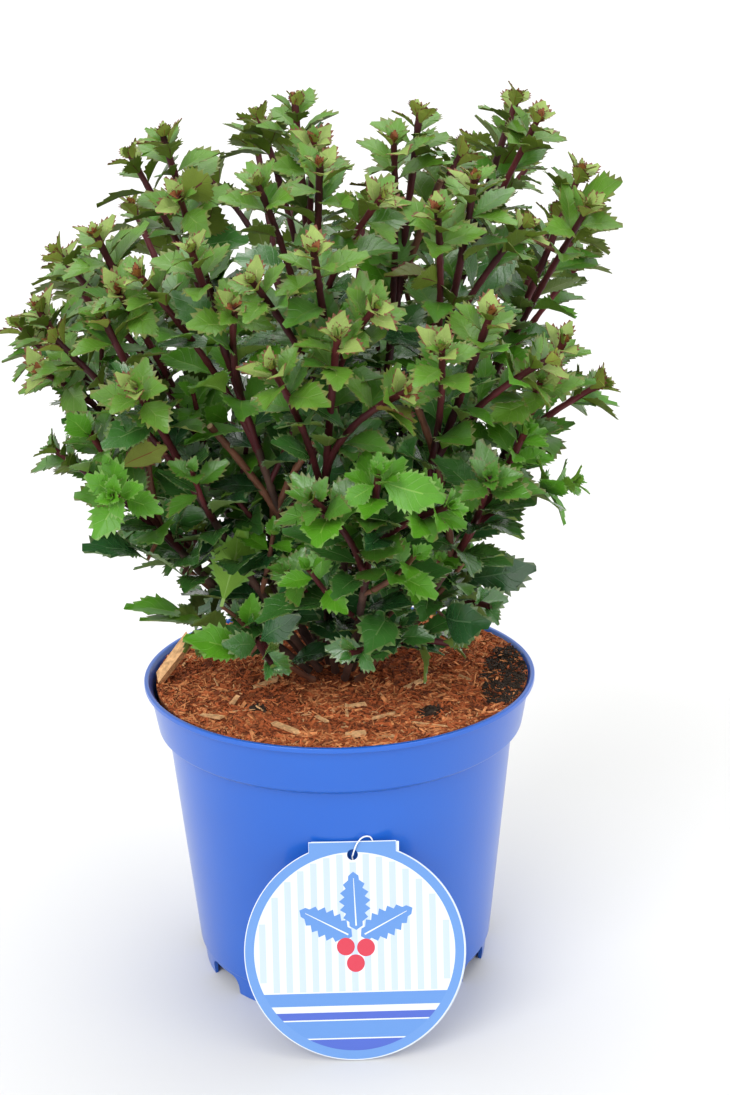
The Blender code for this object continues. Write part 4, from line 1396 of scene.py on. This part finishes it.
class HOLLY_OT_tag(bpy.types.Operator):
    """Lean the round hang tag on the pot, with a plain printed design, and loop its string"""

    bl_idname = "holly.tag"
    bl_label = "Hang tag"

    def execute(self, context):
        half = TAG_TAB_WIDTH / 2
        first = math.degrees(math.acos(half / TAG_RADIUS))
        card = [(half, TAG_TAB_TOP)]
        card += circle_points((0, 0), TAG_RADIUS, 120, math.radians(first), -math.radians(180 + 2 * first))
        card += [(-half, TAG_TAB_TOP)]
        hole = circle_points((0, TAG_HOLE_UP), TAG_HOLE_RADIUS, 32)
        white, _, _ = new_material("card_white", (0.70, 0.75, 0.83), 0.30, 0.3)
        back, _, _ = new_material("card_back", (0.70, 0.78, 0.88), 0.45)
        self.sheet("tag_card", [[card, hole]], 0.15, 0.35, white, ("tag",))
        rear = turned_points(card, -0.9, (0.5, -0.2))
        rear_hole = circle_points((0, TAG_HOLE_UP), TAG_HOLE_RADIUS + 0.8, 32)
        self.sheet("tag_card_back", [[rear, rear_hole]], -0.45, -0.20, back)
        for name, (colour, rough) in TAG_INKS.items():
            ink, _, _ = new_material(f"ink_{name}", colour, rough, 0.3)
            self.sheet(f"tag_{name}", self.artwork(name, card, hole), 0.35, 0.37 + TAG_LAYER[name], ink)
        self.string()
        return {"FINISHED"}

    def artwork(self, name, card, hole):
        """The printed shapes of one ink, as lists of an outline and its holes."""
        field = TAG_FIELD
        if name == "rim":
            return [[[(x * TAG_PRINTED, y * TAG_PRINTED) for x, y in card], field_outline()]]
        if name == "stripes":
            shapes = []
            for index in range(-7, 8):
                middle = index * 6
                reach = math.sqrt(max(0, (field - 0.4) ** 2 - (abs(middle) + 1.5) ** 2))
                low = TAG_BANDS_TOP + 0.6
                if reach < 6:
                    continue
                low = max(low, -reach)
                box = [(middle - 1.5, low), (middle + 1.5, low), (middle + 1.5, reach), (middle - 1.5, reach)]
                near = abs(middle) < TAG_HOLE_RADIUS + 1.5 and reach > TAG_HOLE_UP - TAG_HOLE_RADIUS
                if near:
                    top = TAG_HOLE_UP - TAG_HOLE_RADIUS - 1
                    box = [(x, min(y, top)) for x, y in box]
                shapes.append([box])
            return shapes
        if name == "bands":
            return [[segment(TAG_BANDS_TOP - 6, TAG_BANDS_TOP, field)], [segment(-40, -32, field)]]
        if name == "base":
            return [[segment(-field, -40.6, field)], [segment(-31.4, -28, field)]]
        if name == "leaves":
            leaf = holly_outline(27, 13, 7)
            places = ((152, (-1, 7)), (28, (3, 7)), (92, (1, 10)))
            return [[turned_points(leaf, angle, move)] for angle, move in places]
        if name == "veins":
            vein = [(2, -0.35), (24, -0.12), (24, 0.12), (2, 0.35)]
            places = ((152, (-1, 7)), (28, (3, 7)), (92, (1, 10)))
            return [[turned_points(vein, angle, move)] for angle, move in places]
        berries = ((-4.0, 2.4), (5.2, 1.8), (0.4, -5.4))
        return [[circle_points(place, 4.1, 36)] for place in berries]

    def sheet(self, name, shapes, low, high, material, nodes=()):
        """Flat shapes in the card's plane, in mm, as thick as from low to high."""
        curve = bpy.data.curves.new(name, "CURVE")
        curve.dimensions = "2D"
        curve.fill_mode = "BOTH"
        curve.extrude = (high - low) / 2 * MM
        for shape in shapes:
            for outline in shape:
                spline = curve.splines.new("POLY")
                spline.points.add(len(outline) - 1)
                spline.use_cyclic_u = True
                for point, (x, y) in zip(spline.points, outline):
                    point.co = (x * MM, y * MM, 0, 1)
        made = bpy.data.objects.new(name, curve)
        place_objects((made,))
        made.matrix_world = tag_place() @ Matrix.Translation((0, TAG_RADIUS * MM, (low + high) / 2 * MM))
        mesh = evaluated_mesh(made, name)
        shape = bmesh.new()
        shape.from_mesh(mesh)
        bmesh.ops.remove_doubles(shape, verts=shape.verts, dist=0.000001)
        bmesh.ops.recalc_face_normals(shape, faces=shape.faces)
        shape.to_mesh(mesh)
        shape.free()
        add_piece(name, mesh, (material,), nodes)

    def string(self):
        """The white thread: up behind the card, out through its hole and back over its top."""
        frame_of_card = tag_place()
        places = [frame_of_card @ (Vector(point) * MM) for point in STRING_ROUTE]
        curve = bpy.data.curves.new("tag_thread", "CURVE")
        curve.dimensions = "3D"
        curve.use_fill_caps = True
        curve.bevel_depth = STRING_RADIUS
        curve.bevel_resolution = 3
        curve.resolution_u = 10
        route = smooth_route(places, 10)
        spline = curve.splines.new("POLY")
        spline.points.add(len(route) - 1)
        for point, place in zip(spline.points, route):
            point.co = (*place, 1)
        made = bpy.data.objects.new("tag_thread", curve)
        place_objects((made,))
        mesh = evaluated_mesh(made, "tag_thread")
        shape = bmesh.new()
        shape.from_mesh(mesh)
        bmesh.ops.remove_doubles(shape, verts=shape.verts, dist=0.000002)
        bmesh.ops.recalc_face_normals(shape, faces=shape.faces)
        shape.to_mesh(mesh)
        shape.free()
        shade(mesh, 60)
        thread, tree, shader = new_material("thread", (0.85, 0.86, 0.88), 0.7)
        add_bump(tree, shader, 2500, 0.6, 0.0003)
        add_piece("tag_thread", mesh, (thread,), ("tag_string",))


def smooth_route(points, steps):
    """Points read from a smooth curve through the given ones."""
    ends = [points[0] * 2 - points[1]] + points + [points[-1] * 2 - points[-2]]
    route = []
    for a, b, c, d in zip(ends, ends[1:], ends[2:], ends[3:]):
        for index in range(steps):
            t = index / steps
            cubic = (b * 3 - a - c * 3 + d) * t ** 3
            square = (a * 2 - b * 5 + c * 4 - d) * t ** 2
            route.append((b * 2 + (c - a) * t + square + cubic) / 2)
    return route + [points[-1]]


class HOLLY_OT_stage(bpy.types.Operator):
    """Set the pale floor, the soft studio light and the camera"""

    bl_idname = "holly.stage"
    bl_label = "Stage"

    def execute(self, context):
        shape = bmesh.new()
        bmesh.ops.create_grid(shape, x_segments=1, y_segments=1, size=40)
        mesh = bpy.data.meshes.new("floor")
        shape.to_mesh(mesh)
        shape.free()
        floor = bpy.data.objects.new("floor", mesh)
        pale, _, _ = new_material("floor_pale", (0.66, 0.66, 0.655), 0.7)
        mesh.materials.append(pale)
        context.scene.collection.objects.link(floor)
        world = bpy.data.worlds.new("studio")
        world.use_nodes = True
        tree = world.node_tree
        tree.nodes["Background"].inputs["Color"].default_value = (0.985, 0.985, 0.98, 1)
        direction = tree.nodes.new("ShaderNodeTexCoord")
        parts = tree.nodes.new("ShaderNodeSeparateXYZ")
        tree.links.new(direction.outputs["Generated"], parts.inputs["Vector"])
        dim = tree.nodes.new("ShaderNodeMapRange")
        dim.inputs["From Min"].default_value = -0.9
        dim.inputs["From Max"].default_value = -0.1
        dim.inputs["To Min"].default_value = WORLD_FRONT
        dim.inputs["To Max"].default_value = WORLD_BACK
        tree.links.new(parts.outputs["Y"], dim.inputs["Value"])
        tree.links.new(dim.outputs["Result"], tree.nodes["Background"].inputs["Strength"])
        context.scene.world = world
        self.add_light(context, "key", (-0.8, -1.2, 1.3), 40, 1.9)
        self.add_light(context, "fill", (1.1, -1.0, 0.8), 50, 1.0)
        self.add_light(context, "top", (0.1, 0.3, 1.7), 50, 1.4)
        camera = bpy.data.cameras.new("camera")
        camera.lens = CAMERA_LENS
        camera.sensor_width = 36
        camera.clip_start = 0.01
        viewer = bpy.data.objects.new("camera", camera)
        viewer.location = CAMERA_PLACE
        viewer.rotation_euler = Euler([math.radians(angle) for angle in CAMERA_TURN])
        context.scene.collection.objects.link(viewer)
        context.scene.camera = viewer
        context.scene.view_settings.view_transform = "Standard"
        return {"FINISHED"}

    def add_light(self, context, name, place, spread, strength):
        """A far, wide softbox: its light falls evenly on the plant and on the whole floor."""
        light = bpy.data.lights.new(name, "SUN")
        light.angle = math.radians(spread)
        light.energy = strength
        made = bpy.data.objects.new(name, light)
        made.location = place
        aim = Vector((0, 0, 0.22)) - made.location
        made.rotation_euler = aim.to_track_quat("-Z", "Y").to_euler()
        context.scene.collection.objects.link(made)


class HollyPlantSizes(bpy.types.PropertyGroup):
    """Sizes of the plant that a user would change"""

    leaf_length: bpy.props.FloatProperty(
        name="Leaf length", description="Length of a full-grown leaf", default=0.0285, unit="LENGTH"
    )
    leaf_pitch: bpy.props.FloatProperty(
        name="Leaf pitch", description="Distance between leaves along a shoot", default=0.0071, unit="LENGTH"
    )
    seed: bpy.props.IntProperty(name="Seed", description="Seed of the plant's variation", default=11)


class HOLLY_PT_panel(bpy.types.Panel):
    """Lists the pieces of the potted holly"""

    bl_label = "Potted holly"
    bl_idname = "HOLLY_PT_panel"
    bl_space_type = "VIEW_3D"
    bl_region_type = "UI"
    bl_category = "Holly"

    def draw(self, context):
        sizes = context.scene.holly_plant
        for name in ("leaf_length", "leaf_pitch", "seed"):
            self.layout.prop(sizes, name)
        for operator in OPERATORS:
            self.layout.operator(operator.bl_idname)


OPERATORS = (
    HOLLY_OT_stage,
    HOLLY_OT_pot,
    HOLLY_OT_substrate,
    HOLLY_OT_stems,
    HOLLY_OT_leaves,
    HOLLY_OT_tag,
)
CLASSES = (HollyPlantSizes, *OPERATORS, HOLLY_PT_panel)


def register():
    for item in CLASSES:
        bpy.utils.register_class(item)
    bpy.types.Scene.holly_plant = bpy.props.PointerProperty(type=HollyPlantSizes)


def unregister():
    del bpy.types.Scene.holly_plant
    for item in reversed(CLASSES):
        bpy.utils.unregister_class(item)


def main():
    register()
    bpy.ops.holly.stage()
    bpy.ops.holly.pot()
    bpy.ops.holly.substrate()
    bpy.ops.holly.stems()
    bpy.ops.holly.leaves()
    bpy.ops.holly.tag()


if __name__ == "__main__":
    main()
